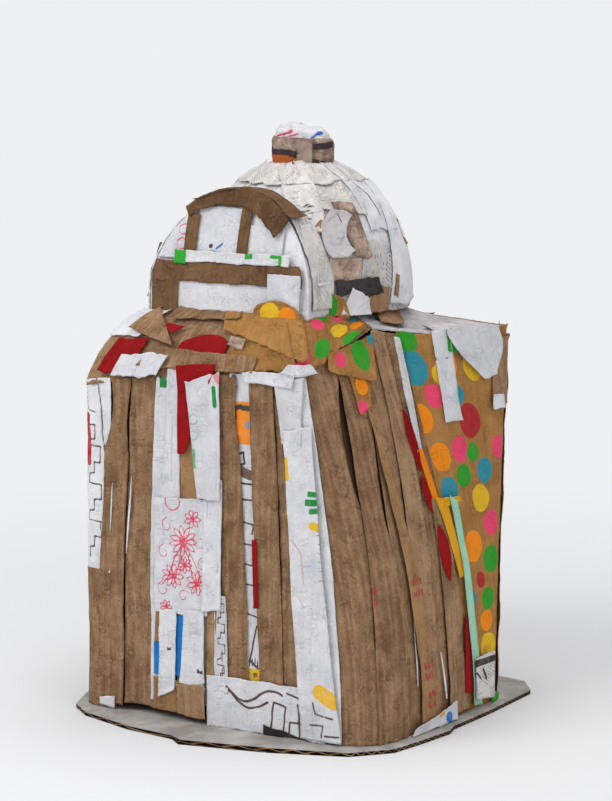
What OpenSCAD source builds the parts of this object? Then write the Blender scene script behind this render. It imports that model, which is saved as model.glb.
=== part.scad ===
// Paper strip building: a hollow domed building of cut paper strips on a sheet of corrugated board.
// Millimetres, +Z up, origin under the middle of the board, strip-covered front towards -Y.

/* [Board] */
// Width of the corrugated sheet, left to right
board_w = 376; // [350:1:420]
// Depth of the corrugated sheet, front to back
board_d = 340; // [325:1:380]
// Thickness of the corrugated sheet
board_t = 4; // [3:0.5:7]
// Thickness of each flat liner of the sheet
liner_t = 0.6; // [0.4:0.1:1]
// Distance from one flute to the next
flute_pitch = 7; // [5:0.5:9]

/* [Walls] */
// Left wall, measured from the middle of the board
body_left = 164; // [155:1:172]
// Near corner of the foot, measured from the middle to the right
body_right = 142; // [130:1:150]
// Front wall, measured from the middle forwards
body_front = 113; // [100:1:125]
// Back wall, measured from the middle backwards
body_back = 154; // [148:1:160]
// How far the right wall swells beyond the near corner at the foot
side_swell = 26; // [10:1:34]
// Width of the front arm at the eaves
front_arm_w = 232; // [210:1:245]
// Reach of the right wing at the eaves, from the middle of the board
wing_reach = 160; // [145:1:168]
// Front edge of the right wing at the eaves, from the middle
wing_front = 0; // [-15:1:20]
// Width of the right wing at the eaves
wing_w = 102; // [80:1:115]
// How the walls lean: 1 is straight, more keeps them upright at the foot
lean_power = 1.8; // [1:0.1:2.5]
// Rounding of the near corner at the foot
near_round = 42; // [15:1:50]

/* [Heights] */
// Top of the front wall at its left end
eave_left_z = 318; // [280:1:340]
// Top of the front wall at its right end
eave_right_z = 339; // [300:1:355]
// Top of the right wing
wing_z = 367; // [340:1:372]
// Level ring that the dome and the vault stand on
drum_z = 383; // [376:1:392]
// Height of the slot under the front and left walls
foot_slot = 13; // [6:1:20]

/* [Vault and dome] */
// Middle of the front vault, left of the middle of the board
vault_x = -31; // [-40:1:-20]
// Half the width of the vault
vault_half = 82; // [70:1:88]
// Front face of the vault, from the middle of the board
vault_front = -70; // [-82:1:-60]
// Height of the straight sides of the vault
vault_side = 16; // [8:1:26]
// Rise of the arch above its straight sides
vault_rise = 91; // [70:1:100]
// How far the front of the vault leans back at its crown
vault_lean = 22; // [5:1:30]
// Middle of the dome, left of the middle of the board
dome_x = -19; // [-30:1:-8]
// Middle of the dome, behind the middle of the board
dome_y = 48; // [40:1:52]
// Radius of the dome at its foot
dome_r = 99; // [88:1:101]
// Height of the dome above the level ring
dome_h = 137; // [120:1:148]
// Fullness of the dome: 2 is an ellipse, more is squarer
dome_full = 2.2; // [1.8:0.1:3]
// Radius of the knob
knob_r = 29; // [22:1:34]
// Height of the knob above the crown of the dome
knob_h = 40; // [30:1:50]

/* [Paper] */
// Thickness of a pasted strip
paper_t = 0.8; // [0.6:0.1:1]
// Clearance between one layer of paper and the next
paper_gap = 0.35; // [0.3:0.05:0.5]
// Clearance under the walls where they stand on the board
seat = 0.2; // [0.1:0.05:0.4]
// Length of a facet along a strip
facet = 42; // [30:1:60]

/* [Hidden] */
$fn = 64;
layer_step = paper_t + paper_gap;
kraft = "#80644c";
kraft_light = "#a98a66";
white = "#e6e4e2";
newsprint = "#cfccc8";
red = "#a32d33";
yellow = "#e2b43c";
mint = "#c9e6d6";
carton = "#5d4634";
wing_back = wing_front + wing_w;
ring_z = drum_z + layer_step;
dome_top = ring_z + dome_h;
vault_h = vault_side + vault_rise;

// Plan corners at the foot: front left, near corner, below the recess, wing, back right, back left
foot = [
    [-body_left, -body_front],
    [body_right, -body_front + 7],
    [body_right + side_swell * 0.6, wing_front],
    [body_right + side_swell * 0.7, wing_front + 0.47 * wing_w],
    [body_right + side_swell, wing_back - 8],
    [body_right - 22, body_back],
    [-body_left, body_back]
];
foot_round = [12, near_round, 20, 15, 12, 30, 30];

// The same corners at the eaves, where the near corner folds in to a deep recess
eave = [
    [-body_left + 1, -body_front],
    [front_arm_w - body_left + 1, -body_front + 14],
    [front_arm_w - body_left + 14, wing_front - 2],
    [wing_reach - 17, wing_front],
    [wing_reach + 14, wing_back],
    [body_right - 22, body_back - 3],
    [-body_left + 1, body_back - 3]
];
eave_round = [12, 14, 20, 14, 12, 30, 30];
eave_z = [eave_left_z, eave_right_z, wing_z + 4, wing_z, wing_z, wing_z - 8, eave_right_z];

// The same corners where the roof ends, under the feet of the vault and the dome
function under_dome(a) = [dome_x + (dome_r - 9) * cos(a), dome_y + (dome_r - 9) * sin(a)];
drum = [
    [vault_x - vault_half + 5, vault_front + 5],
    [vault_x + vault_half - 5, vault_front + 5],
    under_dome(-28),
    under_dome(5),
    under_dome(42),
    under_dome(78),
    under_dome(140)
];
drum_round = [8, 8, 14, 18, 18, 18, 25];

// How flat the roof is at each corner: 0 swells from the eaves, 1 lies level to the foot of the dome
roof_flat = [0, 0, 0.6, 1, 1, 0.6, 0];

corners = len(foot);

// A value between a and b
function mix(a, b, t) = a + (b - a) * t;

// The item of a ring list, counted round and round
function turn(list, i) = list[(i % len(list) + len(list)) % len(list)];

// Length of the side of a ring that starts at corner i
function side_len(ring, i) = norm(turn(ring, i + 1) - turn(ring, i));

// Length of the wall along that side, where the lean is 0 at the foot and 1 at the eaves
function wall_len(i, lean) = mix(side_len(foot, i), side_len(eave, i), lean);

// Point on a corner of the ring that is rounded by a curve reaching r along both sides
function corner_point(ring, i, r, t) =
    let (c = turn(ring, i), p = turn(ring, i - 1), n = turn(ring, i + 1))
    let (a = c + (p - c) * r / norm(p - c), b = c + (n - c) * r / norm(n - c))
    (1 - t) * (1 - t) * a + 2 * t * (1 - t) * c + t * t * b;

// Point of a rounded ring: whole numbers are its corners, fractions run along its sides
function ring_point(ring, rounds, u) =
    let (i = floor(u), f = u - i, long = side_len(ring, i), d = f * long, rest = long - d)
    let (r0 = turn(rounds, i), r1 = turn(rounds, i + 1))
    d < r0 ? corner_point(ring, i, r0, 0.5 + 0.5 * d / r0)
    : rest < r1 ? corner_point(ring, i + 1, r1, 0.5 - 0.5 * rest / r1)
    : mix(turn(ring, i), turn(ring, i + 1), f);

// Value along the ring of a list that gives one for each corner
function ring_value(list, u) = mix(turn(list, floor(u)), turn(list, floor(u) + 1), u - floor(u));

// Height of the eaves along the ring
function eave_height(u) = ring_value(eave_z, u);

// Length of a ring from its first corner to the place u, counted from corner i on
function run(ring, u, i = 0) =
    u < i ? (u - i) * side_len(ring, i - 1)
    : u > i + 1 ? side_len(ring, i) + run(ring, u, i + 1)
    : (u - i) * side_len(ring, i);

// Place round the wall at a distance s from corner i
function along(s, lean, i = 0) =
    s < 0 ? along(s + wall_len(i - 1, lean), lean, i - 1)
    : s > wall_len(i, lean) ? along(s - wall_len(i, lean), lean, i + 1)
    : i + s / wall_len(i, lean);

// How much of the lean a wall has at the height h
function lean_at(h) = pow(max(h, 0), lean_power);

// Outside of the walls: h is 0 on the board and 1 at the eaves
function wall(u, h) =
    let (p = mix(ring_point(foot, foot_round, u), ring_point(eave, eave_round, u), lean_at(h)))
    [p[0], p[1], mix(board_t + seat, eave_height(u), h)];

// Outside of the roof: k is 0 at the eaves and 1 under the feet of the dome
function roof(u, k) =
    let (p = mix(ring_point(eave, eave_round, u), ring_point(drum, drum_round, u), pow(max(k, 0), 1.15)))
    let (flat = ring_value(roof_flat, u), rise = mix(1 - pow(1 - min(k, 1), 2), pow(max(k, 0), 4), flat))
    [p[0], p[1], mix(eave_height(u), drum_z, rise)];

// Outside of the dome: a is the compass angle, s is 0 at the foot and 1 at the crown
function dome(a, s) =
    let (r = dome_r * pow(cos(90 * s), 2 / dome_full), z = dome_h * pow(sin(90 * s), 2 / dome_full))
    [dome_x + r * cos(a), dome_y + r * sin(a), ring_z + z];

// Half the width of the vault at the height z above its foot
function arch_half(z) =
    let (t = min(max(z - vault_side, 0) / vault_rise, 1))
    vault_half * sqrt(1 - t * t);

// Front of the vault: x from its middle and z above its foot
function vault_face(x, z) = [vault_x + x, vault_front + vault_lean * pow(z / vault_h, 2), ring_z + z];

// Front of the dome at a place in front view, with a clearance
function dome_front(x, z, clear) =
    let (t = min(max(z / dome_h, 0), 1), r = dome_r * pow(1 - pow(t, dome_full), 1 / dome_full) + clear)
    dome_y - sqrt(max(r * r - pow(x - dome_x, 2), 0));

// Outside of the tunnel: p runs from its left foot over the arch to its right foot, d from front to back
function tunnel(p, d) =
    let (a = mix(192, -12, p), upright = a < 0 || a > 180)
    let (x = vault_half * (upright ? sign(90 - a) : cos(a)))
    let (z = upright ? vault_side * (102 - abs(a - 90)) / 12 : vault_side + vault_rise * sin(a))
    let (front = vault_face(0, z)[1] + paper_gap, back = dome_front(vault_x + x, z, 3 * layer_step))
    [vault_x + x, mix(front, max(back, front + 2), d), ring_z + z];

// Direction square to a surface f(a, b) at one place
function facing(f, a, b) =
    let (e = 0.004, n = cross(f(a + e, b) - f(a - e, b), f(a, b + e) - f(a, b - e)))
    n / norm(n);

// How far the inner face of a layer lies above the surface that carries the first layer
function lift_of(layer) = paper_gap + (layer - 1) * layer_step;

// A sheet of paper over the surface f(a, b), with its inner face lifted off it
module sheet(f, across, up, lift, thick = paper_t) {
    places = [for (i = [0:across]) for (j = [0:up]) [i / across, j / up]];
    inner = [for (p = places) f(p[0], p[1]) + lift * facing(f, p[0], p[1])];
    outer = [for (p = places) f(p[0], p[1]) + (lift + thick) * facing(f, p[0], p[1])];
    n = len(places);
    function at(i, j) = i * (up + 1) + j;
    skin = [for (i = [0:across - 1]) for (j = [0:up - 1])
        each [[at(i, j), at(i + 1, j + 1), at(i + 1, j)], [at(i, j), at(i, j + 1), at(i + 1, j + 1)]]];
    back = [for (t = skin) [t[0] + n, t[1] + n, t[2] + n]];
    rim = concat(
        [for (i = [0:across - 1]) [at(i, 0), at(i + 1, 0)]],
        [for (j = [0:up - 1]) [at(across, j), at(across, j + 1)]],
        [for (i = [across:-1:1]) [at(i, up), at(i - 1, up)]],
        [for (j = [up:-1:1]) [at(0, j), at(0, j - 1)]]
    );
    edge = [for (e = rim) each [[e[0] + n, e[0], e[1]], [e[0] + n, e[1], e[1] + n]]];
    turned = [for (t = back) [t[2], t[1], t[0]]];
    polyhedron(concat(outer, inner), concat(skin, turned, edge));
}

// Part of the wall from place u0 to u1 along the ring, and from height h0 to h1
module wall_sheet(u0, u1, h0, h1, across, lift, thick = paper_t) {
    up = max(2, ceil((h1 - h0) * eave_right_z / facet));
    sheet(function(a, b) wall(mix(u0, u1, a), mix(h0, h1, b)), across, up, lift, thick);
}

// A strip that leans straight from its place at the foot to its place at the eaves.
// row: name, colour, foot from and to, eaves from and to, lowest and highest height, layer, facets across
module strip(row, step = facet) {
    up = max(2, ceil((row[7] - row[6]) * eave_right_z / step));
    color(row[1])
        sheet(
            function(a, b)
                let (h = mix(row[6], row[7], b), lean = lean_at(h))
                let (low = mix(run(foot, row[2]), run(foot, row[3]), a))
                let (high = mix(run(eave, row[4]), run(eave, row[5]), a))
                wall(along(mix(low, high, lean), lean), h),
            row[9], up, lift_of(row[8])
        );
}

// A patch of the roof. row: name, colour, from and to at its lower edge, from and to at its upper edge,
// lower and upper place on the slope, layer, facets across
module roof_patch(row) {
    color(row[1])
        sheet(
            function(a, b)
                let (low = mix(run(eave, row[2]), run(eave, row[3]), a))
                let (high = mix(run(eave, row[4]), run(eave, row[5]), a))
                roof(along(mix(low, high, b), 1), mix(row[6], row[7], b)),
            row[9], 4, lift_of(row[8]) + paper_gap
        );
}

// A strip of the dome. row: name, colour, angles at its foot, angles at its top, foot and top, layer, facets
module dome_strip(row) {
    color(row[1])
        sheet(
            function(a, b)
                let (angle = mix(mix(row[2], row[3], a), mix(row[4], row[5], a), b))
                dome(angle, mix(row[6], row[7], b)),
            row[9], 8, lift_of(row[8]) + paper_gap
        );
}

// The strips of the front wall, from left to right. Places are along the rings of the foot and the eaves,
// where whole numbers are the corners. Rows with one name are one node of separate pieces.
FRONT = [
    ["corner_fret_strip", white, -0.052, 0.091, -0.053, 0.129, 0.42, 1, 1, 6],
    ["corner_brown_strip", kraft, -0.052, 0.072, -0.053, 0.112, 0, 0.41, 1, 6],
    ["brown_strip_1", kraft, 0.046, 0.137, 0.129, 0.228, 0.012, 1, 2, 1],
    ["brown_strip_2", kraft, 0.144, 0.248, 0.228, 0.357, 0.012, 1, 1, 1],
    ["green_mark_strip", white, 0.242, 0.32, 0.349, 0.422, 0.05, 1, 2, 1],
    ["white_strip", white, 0.333, 0.49, 0.452, 0.632, 0.05, 1, 1, 2],
    ["red_tongue", red, 0.359, 0.216, 0.447, 0.594, 0.79, 1.03, 3, 2],
    ["tan_tabs", kraft_light, 0.346, 0.412, 0.465, 0.568, 0.66, 0.9, 2, 1],
    ["tan_tabs", kraft_light, 0.255, 0.438, 0.336, 0.577, 0, 0.11, 3, 2],
    ["ornament_panel", white, 0.261, 0.448, 0.344, 0.585, 0.32, 0.66, 3, 2],
    ["brown_strip_3", kraft, 0.503, 0.588, 0.615, 0.701, 0.05, 1, 2, 1],
    ["fret_strip", white, 0.575, 0.64, 0.68, 0.774, 0.05, 1, 1, 1],
    ["brown_strip_4", kraft, 0.627, 0.712, 0.762, 0.865, 0.05, 1, 2, 1],
    ["brown_strip_5", kraft, 0.712, 0.791, 0.865, 0.955, 0.05, 1, 1, 1],
    ["arched_white_strip", white, 0.778, 0.905, 0.895, 0.998, 0, 1.01, 2, 3],
    ["front_foot_paper", white, 0.451, 0.856, 0.594, 0.981, 0, 0.17, 3, 3]
];

// The strips of the right wall, from the near corner to the back of the wing
SIDE = [
    ["side_brown_1", kraft, 0.902, 1.131, 0.996, 1.388, 0, 1, 1, 8],
    ["side_brown_2", kraft, 1.103, 1.439, 1.378, 1.715, 0, 1, 2, 2],
    ["side_brown_3", kraft, 1.42, 1.7, 1.725, 2.002, 0, 0.99, 1, 5],
    ["side_brown_4", kraft_light, 1.663, 1.933, 1.971, 2.232, 0, 0.99, 2, 7],
    ["side_brown_5", kraft, 1.905, 2.601, 2.166, 2.477, 0, 0.99, 1, 5],
    ["wing_white_strips", white, 2.476, 2.809, 2.395, 2.592, 0, 1, 2, 2],
    ["wing_white_strips", white, 2.893, 3.147, 3.029, 3.217, 0.78, 1.01, 2, 5],
    ["colour_slivers", red, 2.226, 2.393, 2.428, 2.625, 0.44, 0.86, 3, 1],
    ["colour_slivers", yellow, 2.622, 2.809, 2.838, 3.029, 0.3, 0.72, 3, 1],
    ["mint_strip", mint, 2.872, 3.061, 3.048, 3.235, 0.02, 0.66, 3, 1],
    ["polka_sheet", kraft_light, 2.684, 3.917, 2.526, 3.967, 0, 1, 1, 16],
    ["wing_brown_strip", kraft, 3.703, 4.054, 3.761, 4.089, 0.8, 1.02, 2, 5]
];

// The sheets of the roof
ROOF = [
    ["white_roof_ribbon", white, -0.008, 0.172, -0.015, 0.189, 0.38, 0.8, 1, 5],
    ["white_eave_flap", white, 0.142, 0.357, 0.151, 0.383, 0.015, 0.2, 2, 4],
    ["red_roof_patch", red, 0.06, 0.207, 0.077, 0.224, 0.06, 0.36, 1, 3],
    ["red_arc_patch", red, 0.379, 0.628, 0.413, 0.645, 0.14, 0.44, 1, 4],
    ["tan_roof_patch", kraft_light, 0.68, 0.972, 0.645, 0.921, 0.04, 0.66, 2, 7],
    ["polka_roof_sheet", kraft_light, 0.8, 1.956, 0.8, 1.915, 0.03, 0.93, 1, 14],
    ["wing_roof_flap", white, 3.044, 3.738, 3.175, 3.457, 0, 0.42, 1, 6]
];

// The strips of the dome
DOME = [
    ["dome_flap", white, -8, 26, 8, 34, 0.02, 0.62, 2, 4],
    ["dome_strip_1", white, -34, -6, -24, 10, 0.02, 0.66, 1, 4],
    ["dome_strip_2", newsprint, -42, -36, -66, -28, 0.02, 0.72, 1, 4],
    ["dome_brown_slips", kraft_light, -30, -20, -41, -26, 0.22, 0.49, 2, 3],
    ["dome_brown_slips", kraft, -62, -54, -66, -58, 0.4, 0.7, 2, 2],
    ["dome_dark_piece", "#3d3a3a", -42, -14, -41, -16, 0.05, 0.14, 2, 4],
    ["dome_crown_wrap", white, -190, 20, -170, 0, 0.62, 0.8, 3, 14]
];

// Names in a table, where neighbouring rows may share one
function names(rows) = [for (i = [0:len(rows) - 1]) if (i == 0 || rows[i][0] != rows[i - 1][0]) rows[i][0]];

// Outline of the board, cut freehand: long sides, worn corners and a torn front edge
module board_outline(grow = 0) {
    x = board_w / 2;
    y = board_d / 2;
    polygon([
        [-x, -y + 88], [-x + 14, -y + 48], [-x + 38, -y + 30], [-x + 98, -y + 14], [-x + 150, -y + 10],
        [-x + 163, -y - grow + 3], [x - 129, -y + 23 - grow], [x - 60, -y + 46], [x - 30, -y + 76],
        [x - 20, -y + 112], [x - 11, -y + 152], [x - 14, -y + 166], [x - 6, y - 112], [x, y - 32],
        [x - 18, y - 6], [x - 62, y], [-x + 40, y], [-x + 8, y - 22]
    ]);
}

// Corrugated board: two liners with a zigzag medium between them, open at the cut edges
module base_board() {
    count = ceil(board_d / flute_pitch) + 2;
    gap = board_t - 2 * liner_t;
    half = flute_pitch / 2;
    color("#b3a695") {
        intersection() {
            linear_extrude(board_t) board_outline();
            rotate([90, 0, 90])
                translate([-count * flute_pitch / 2, 0, -board_w])
                    linear_extrude(2 * board_w) difference() {
                        square([count * flute_pitch, board_t]);
                        for (i = [0:count - 1]) {
                            translate([i * flute_pitch, liner_t])
                                polygon([[0.5, 0], [flute_pitch - 1.1, 0], [half - 0.3, gap - 0.6]]);
                            translate([i * flute_pitch + half, liner_t])
                                polygon([[0.5, gap], [flute_pitch - 1.1, gap], [half - 0.3, 0.6]]);
                        }
                    }
        }
        linear_extrude(liner_t) board_outline(3);
    }
}

// The pasted carton panels inside, one for each side of the building
module panel(u0, u1, h0, across) {
    color(carton)
        wall_sheet(u0, u1, h0, 0.995, across, -paper_gap - 1.6, 1.6);
}

// The sheets of the roof under its patches
module roof_panel(u0, u1, across, tint) {
    color(tint)
        sheet(function(a, b) roof(mix(u0, u1, a), b), across, 4, -paper_t);
}

// Arched sheet that closes the front of the vault
module vault_front_panel() {
    color(white)
        sheet(
            function(a, b)
                let (z = 0.99 * vault_h * b)
                vault_face(mix(-1, 1, a) * arch_half(z), z),
            10, 10, 0
        );
}

// The dome with its inside taken out, or a solid dome that is grown by g
module dome_body(g) {
    crown = [for (s = [0:0.0625:1]) dome(0, s) - [dome_x, dome_y, ring_z]];
    grown = [for (p = crown) [p[0] * (1 + g / dome_r), p[2] * (1 + g / dome_h)]];
    translate([dome_x, dome_y, ring_z])
        rotate_extrude() polygon(concat([[0, 0]], grown));
}

// Tunnel of the vault, from its front panel back to the dome
module vault_shell() {
    color(newsprint)
        sheet(function(a, b) tunnel(a, b), 24, 3, -1.6, 1.6);
}

// A piece on the front of the vault, kept inside its arch: x0 to x1 are shares of the half width from the
// middle, z0 to z1 are shares of the height
module vault_piece(x0, x1, z0, z1, layer) {
    sheet(
        function(a, b)
            let (z = vault_h * mix(z0, z1, b), w = arch_half(z))
            vault_face(mix(max(x0 * vault_half, -w), min(x1 * vault_half, w), a), z),
        max(1, ceil((x1 - x0) / 0.27)), 5, paper_t + paper_gap + layer * layer_step
    );
}

// White strips of the vault's front: three upright panels and a band
module vault_white_strips() {
    color(white) {
        vault_piece(-0.93, -0.54, 0.47, 0.79, 0);
        vault_piece(-0.46, 0.15, 0.6, 0.92, 0);
        vault_piece(0.22, 0.68, 0.49, 0.77, 0);
        vault_piece(-0.65, 0.93, 0.04, 0.34, 0);
    }
}

// Brown strips of the vault's front: two posts, the wide band and the left block
module vault_brown_strips() {
    color(kraft) {
        vault_piece(-0.59, -0.44, 0.5, 0.84, 1);
        vault_piece(0.12, 0.24, 0.5, 0.93, 1);
        vault_piece(-0.98, 0.98, 0.31, 0.5, 1);
        vault_piece(-0.98, -0.63, 0, 0.3, 1);
    }
}

// Band that wraps over the right shoulder of the vault at its front edge
module vault_cap_band() {
    color(kraft)
        sheet(function(a, b) tunnel(mix(0.38, 0.77, a), mix(-0.12, 0.75, b)), 10, 2, paper_gap);
}

// Paper shell of the dome, open underneath
module dome_shell() {
    color(newsprint)
        difference() {
            dome_body(0);
            translate([0, 0, -1]) dome_body(-1.6);
        }
}

// Plain strips round the back of the dome
module dome_rear_strips() {
    for (i = [0:5]) {
        a = 48 + 24 * i;
        dome_strip(["", i % 2 == 0 ? white : newsprint, a, a + 21, a + 2, a + 19, 0.02, 0.7, 1, 3]);
    }
}

// Squat knob of crumpled paper, seated on the crown of the dome
module knob() {
    foot_z = dome_top - 0.35 * knob_r;
    color(newsprint)
        difference() {
            translate([dome_x, dome_y, foot_z])
                rotate_extrude() polygon([
                    [0, 0], [knob_r * 0.92, 0], [knob_r, 8], [knob_r * 0.98, knob_h * 0.8],
                    [knob_r * 0.76, knob_h + 8], [0, knob_h + 0.35 * knob_r]
                ]);
            dome_body(paper_gap);
        }
}

// Strips of a hidden wall, alternately brown and white and in two layers
module plain_strips(side, count) {
    pitch = 0.86 / count;
    for (i = [0:count - 1]) {
        u = side + 0.055 + i * pitch;
        tint = i % 3 == 1 ? white : kraft;
        strip(["", tint, u, u + 1.2 * pitch, u, u + 1.2 * pitch, 0.02, 1, 1 + i % 2, 1], 4 * facet);
    }
}

module rear_strips() {
    plain_strips(6, 8);
    plain_strips(5, 9);
}

// Pointed flap of dotted paper that hangs from the roof over the flank
module hanging_flap() {
    strip(["", kraft_light, 1.448, 1.485, 1.531, 1.94, 0.86, 1.0, 3, 3]);
}

base_board();
panel(0.01, 0.99, foot_slot / eave_left_z, 6);  // front_panel
panel(1, 1.99, 0, 8);  // flank_panel
panel(2, 2.99, 0, 6);  // recess_panel
panel(3, 3.99, 0, 6);  // wing_panel
panel(4, 5.99, 0, 12);  // back_panel
panel(6, 6.99, foot_slot / eave_left_z, 6);  // left_panel
roof_panel(0, 0.99, 8, kraft);  // roof_front
roof_panel(1, 1.99, 6, kraft);  // roof_flank
roof_panel(2, 3.99, 12, "#bdbab8");  // wing_roof
roof_panel(4, 5.99, 12, kraft);  // roof_back
roof_panel(6, 6.99, 6, kraft);  // roof_left
vault_front_panel();
vault_shell();
vault_white_strips();
vault_brown_strips();
vault_cap_band();
dome_shell();
dome_rear_strips();
knob();
rear_strips();
hanging_flap();
for (row = FRONT) strip(row);
for (row = SIDE) strip(row);
for (row = ROOF) roof_patch(row);
for (row = DOME) dome_strip(row);
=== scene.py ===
"""Looks of a hollow model building made of pasted paper strips on a sheet of corrugated board.

Every sheet of paper is a grid over a surface of two parameters: the leaning walls, the roof, the vault or the dome.
Lengths in this file are millimetres until a mesh is made in metres. Prints are drawn as signed distances at the
points of the grid, so that their edges stay sharp between the points.
"""

import logging
import math
from dataclasses import dataclass
from enum import Enum
from functools import partial
from typing import Callable

import bpy
import numpy as np
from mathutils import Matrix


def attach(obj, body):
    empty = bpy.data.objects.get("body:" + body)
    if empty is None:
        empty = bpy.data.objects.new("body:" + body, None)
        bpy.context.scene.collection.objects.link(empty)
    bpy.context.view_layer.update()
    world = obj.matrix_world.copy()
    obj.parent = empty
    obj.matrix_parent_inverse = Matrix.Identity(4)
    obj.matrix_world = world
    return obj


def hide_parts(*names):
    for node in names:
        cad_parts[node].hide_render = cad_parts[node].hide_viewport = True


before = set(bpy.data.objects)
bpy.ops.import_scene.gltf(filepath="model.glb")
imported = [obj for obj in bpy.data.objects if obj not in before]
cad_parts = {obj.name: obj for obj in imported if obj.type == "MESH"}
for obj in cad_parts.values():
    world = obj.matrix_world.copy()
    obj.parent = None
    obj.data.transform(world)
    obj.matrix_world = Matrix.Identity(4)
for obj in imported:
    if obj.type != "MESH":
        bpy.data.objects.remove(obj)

LOG = logging.getLogger("paper_building")
Array = np.ndarray
Pair = tuple[float, float]
Place = tuple[float, float, float]
Numbers = tuple[float, ...]
Spots = tuple[Array, Array, Array]
Chart = Callable[[Array, Array], Spots]
Surface = Callable[[Numbers, Array, Array], Spots]
Marks = tuple["Mark", ...]
MM = 0.001
HASH = (374761393, 668265263, 974634777, 1274126177)
MASK, LOW_MASK = 0xFFFFFFFF, 0xFFFF
SEEDS, SHIFTS = 9973, 97
SHARED_CELL, SHARED_SEED = 27, 77
SAMPLES, FEWEST, MOST = 9, 5, 260
INK_REACH = 3.0
FAR = -99.0


# Numbers and noise
def mix(a: Array | float, b: Array | float, t: Array | float) -> Array:
    """A value between a and b."""
    return a + (b - a) * t


def linear(colour: str) -> tuple[float, float, float, float]:
    """Turns a hex colour into the linear values that shaders take.

    Args:
        colour: six hex digits after a hash sign.

    Returns:
        Red, green, blue and an alpha of one.
    """
    parts = np.array([int(colour[i : i + 2], 16) / 255 for i in (1, 3, 5)])
    lin = np.where(parts <= 0.04045, parts / 12.92, ((parts + 0.055) / 1.055) ** 2.4)
    return (float(lin[0]), float(lin[1]), float(lin[2]), 1.0)


def lattice(i: Array, j: Array, seed: int) -> Array:
    """Random value from -1 to 1 for each whole-number place, by mixing the bits of the place and the seed.

    Args:
        i: whole numbers across.
        j: whole numbers along.
        seed: which of the many random fields is read.

    Returns:
        One value for each place, the same in every run.
    """
    n = (i.astype(np.int64) * HASH[0] + j.astype(np.int64) * HASH[1] + seed * HASH[2]) & MASK
    n = ((n ^ (n >> 13)) * HASH[3]) & MASK
    return ((n ^ (n >> 16)) & LOW_MASK) / (LOW_MASK / 2) - 1.0


def noise(x: Array, y: Array, seed: int) -> Array:
    """Smooth noise: the four lattice values round a place, blended by 3t squared minus 2t cubed in each direction.

    Args:
        x: places across, in lattice steps.
        y: places along, in lattice steps.
        seed: which random field is read.

    Returns:
        Values from -1 to 1.
    """
    i, j = np.floor(x), np.floor(y)
    u, v = x - i, y - j
    u, v = u * u * (3 - 2 * u), v * v * (3 - 2 * v)
    low = mix(lattice(i, j, seed), lattice(i + 1, j, seed), u)
    high = mix(lattice(i, j + 1, seed), lattice(i + 1, j + 1, seed), u)
    return mix(low, high, v)


def creases(x: Array, y: Array, cell: float, seed: int) -> Array:
    """Height of crumpled paper: one minus the size of a turned noise, at three scales, so that ridges stay sharp.

    Args:
        x: places across in mm.
        y: places along in mm.
        cell: distance between the large creases in mm.
        seed: which random field is read.

    Returns:
        Heights from 0 to 1.
    """
    turn = 0.4 + 1.7 * seed
    p = (x * math.cos(turn) - y * math.sin(turn)) / cell
    q = (x * math.sin(turn) + y * math.cos(turn)) / cell
    big = 1 - np.abs(noise(p, q, seed))
    mid = 1 - np.abs(noise(p * 2.3 + 7, q * 2.3, seed + 11))
    small = 1 - np.abs(noise(p * 5.1, q * 5.1 + 3, seed + 23))
    return 0.58 * big + 0.3 * mid + 0.12 * small


# Prints
@dataclass(frozen=True)
class Mark:
    """A printed or drawn mark in the sheet's own millimetres."""

    colour: str

    def inside(self, x: Array, y: Array) -> Array:
        """Distance from the mark's edge in mm, positive inside."""
        raise NotImplementedError


@dataclass(frozen=True)
class Dot(Mark):
    """A filled round or oval dot."""

    x: float
    y: float
    r: float
    tall: float = 1.0

    def inside(self, x: Array, y: Array) -> Array:
        """Radius minus the distance from the middle."""
        return self.r - np.hypot(x - self.x, (y - self.y) / self.tall)


@dataclass(frozen=True)
class Ring(Mark):
    """A drawn circle."""

    x: float
    y: float
    r: float
    width: float = 1.4

    def inside(self, x: Array, y: Array) -> Array:
        """Half the line's width minus the distance from the circle."""
        return self.width / 2 - np.abs(np.hypot(x - self.x, y - self.y) - self.r)


@dataclass(frozen=True)
class Block(Mark):
    """A filled rectangle."""

    x0: float
    y0: float
    x1: float
    y1: float

    def inside(self, x: Array, y: Array) -> Array:
        """Distance to the nearest side of the rectangle."""
        across = np.minimum(x - self.x0, self.x1 - x)
        return np.minimum(across, np.minimum(y - self.y0, self.y1 - y))


@dataclass(frozen=True)
class Path(Mark):
    """A drawn line through several points."""

    points: tuple[Pair, ...]
    width: float = 1.6

    def inside(self, x: Array, y: Array) -> Array:
        """Half the line's width minus the distance from the nearest stretch of the line.

        Args:
            x: places across in mm.
            y: places along in mm.

        Returns:
            Distance from the line's edge, positive inside.
        """
        best = np.full(x.shape, FAR)
        for (x0, y0), (x1, y1) in zip(self.points, self.points[1:]):
            dx, dy = x1 - x0, y1 - y0
            t = np.clip(((x - x0) * dx + (y - y0) * dy) / (dx * dx + dy * dy + 1e-9), 0, 1)
            best = np.maximum(best, -np.hypot(x - x0 - t * dx, y - y0 - t * dy))
        return best + self.width / 2


def fret(colour: str, x: Pair, y: Pair, turns: int, width: float = 1.7) -> Path:
    """A meander line that runs down a strip.

    Args:
        colour: hex colour of the line.
        x: left and right reach of the meander.
        y: its upper and lower end.
        turns: how many times the pattern repeats.
        width: width of the line.

    Returns:
        The line as one path.
    """
    drop = (y[1] - y[0]) / turns
    mid = mix(x[0], x[1], 0.42)
    points: list[Pair] = []
    for k in range(turns):
        top = y[0] + k * drop
        points += [(x[0], top), (x[1], top + 0.03 * drop), (x[1], top + 0.45 * drop), (mid, top + 0.42 * drop)]
        points += [(mid, top + 0.72 * drop), (x[0], top + 0.74 * drop), (x[0], top + drop)]
    return Path(colour, tuple(points), width)


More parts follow.
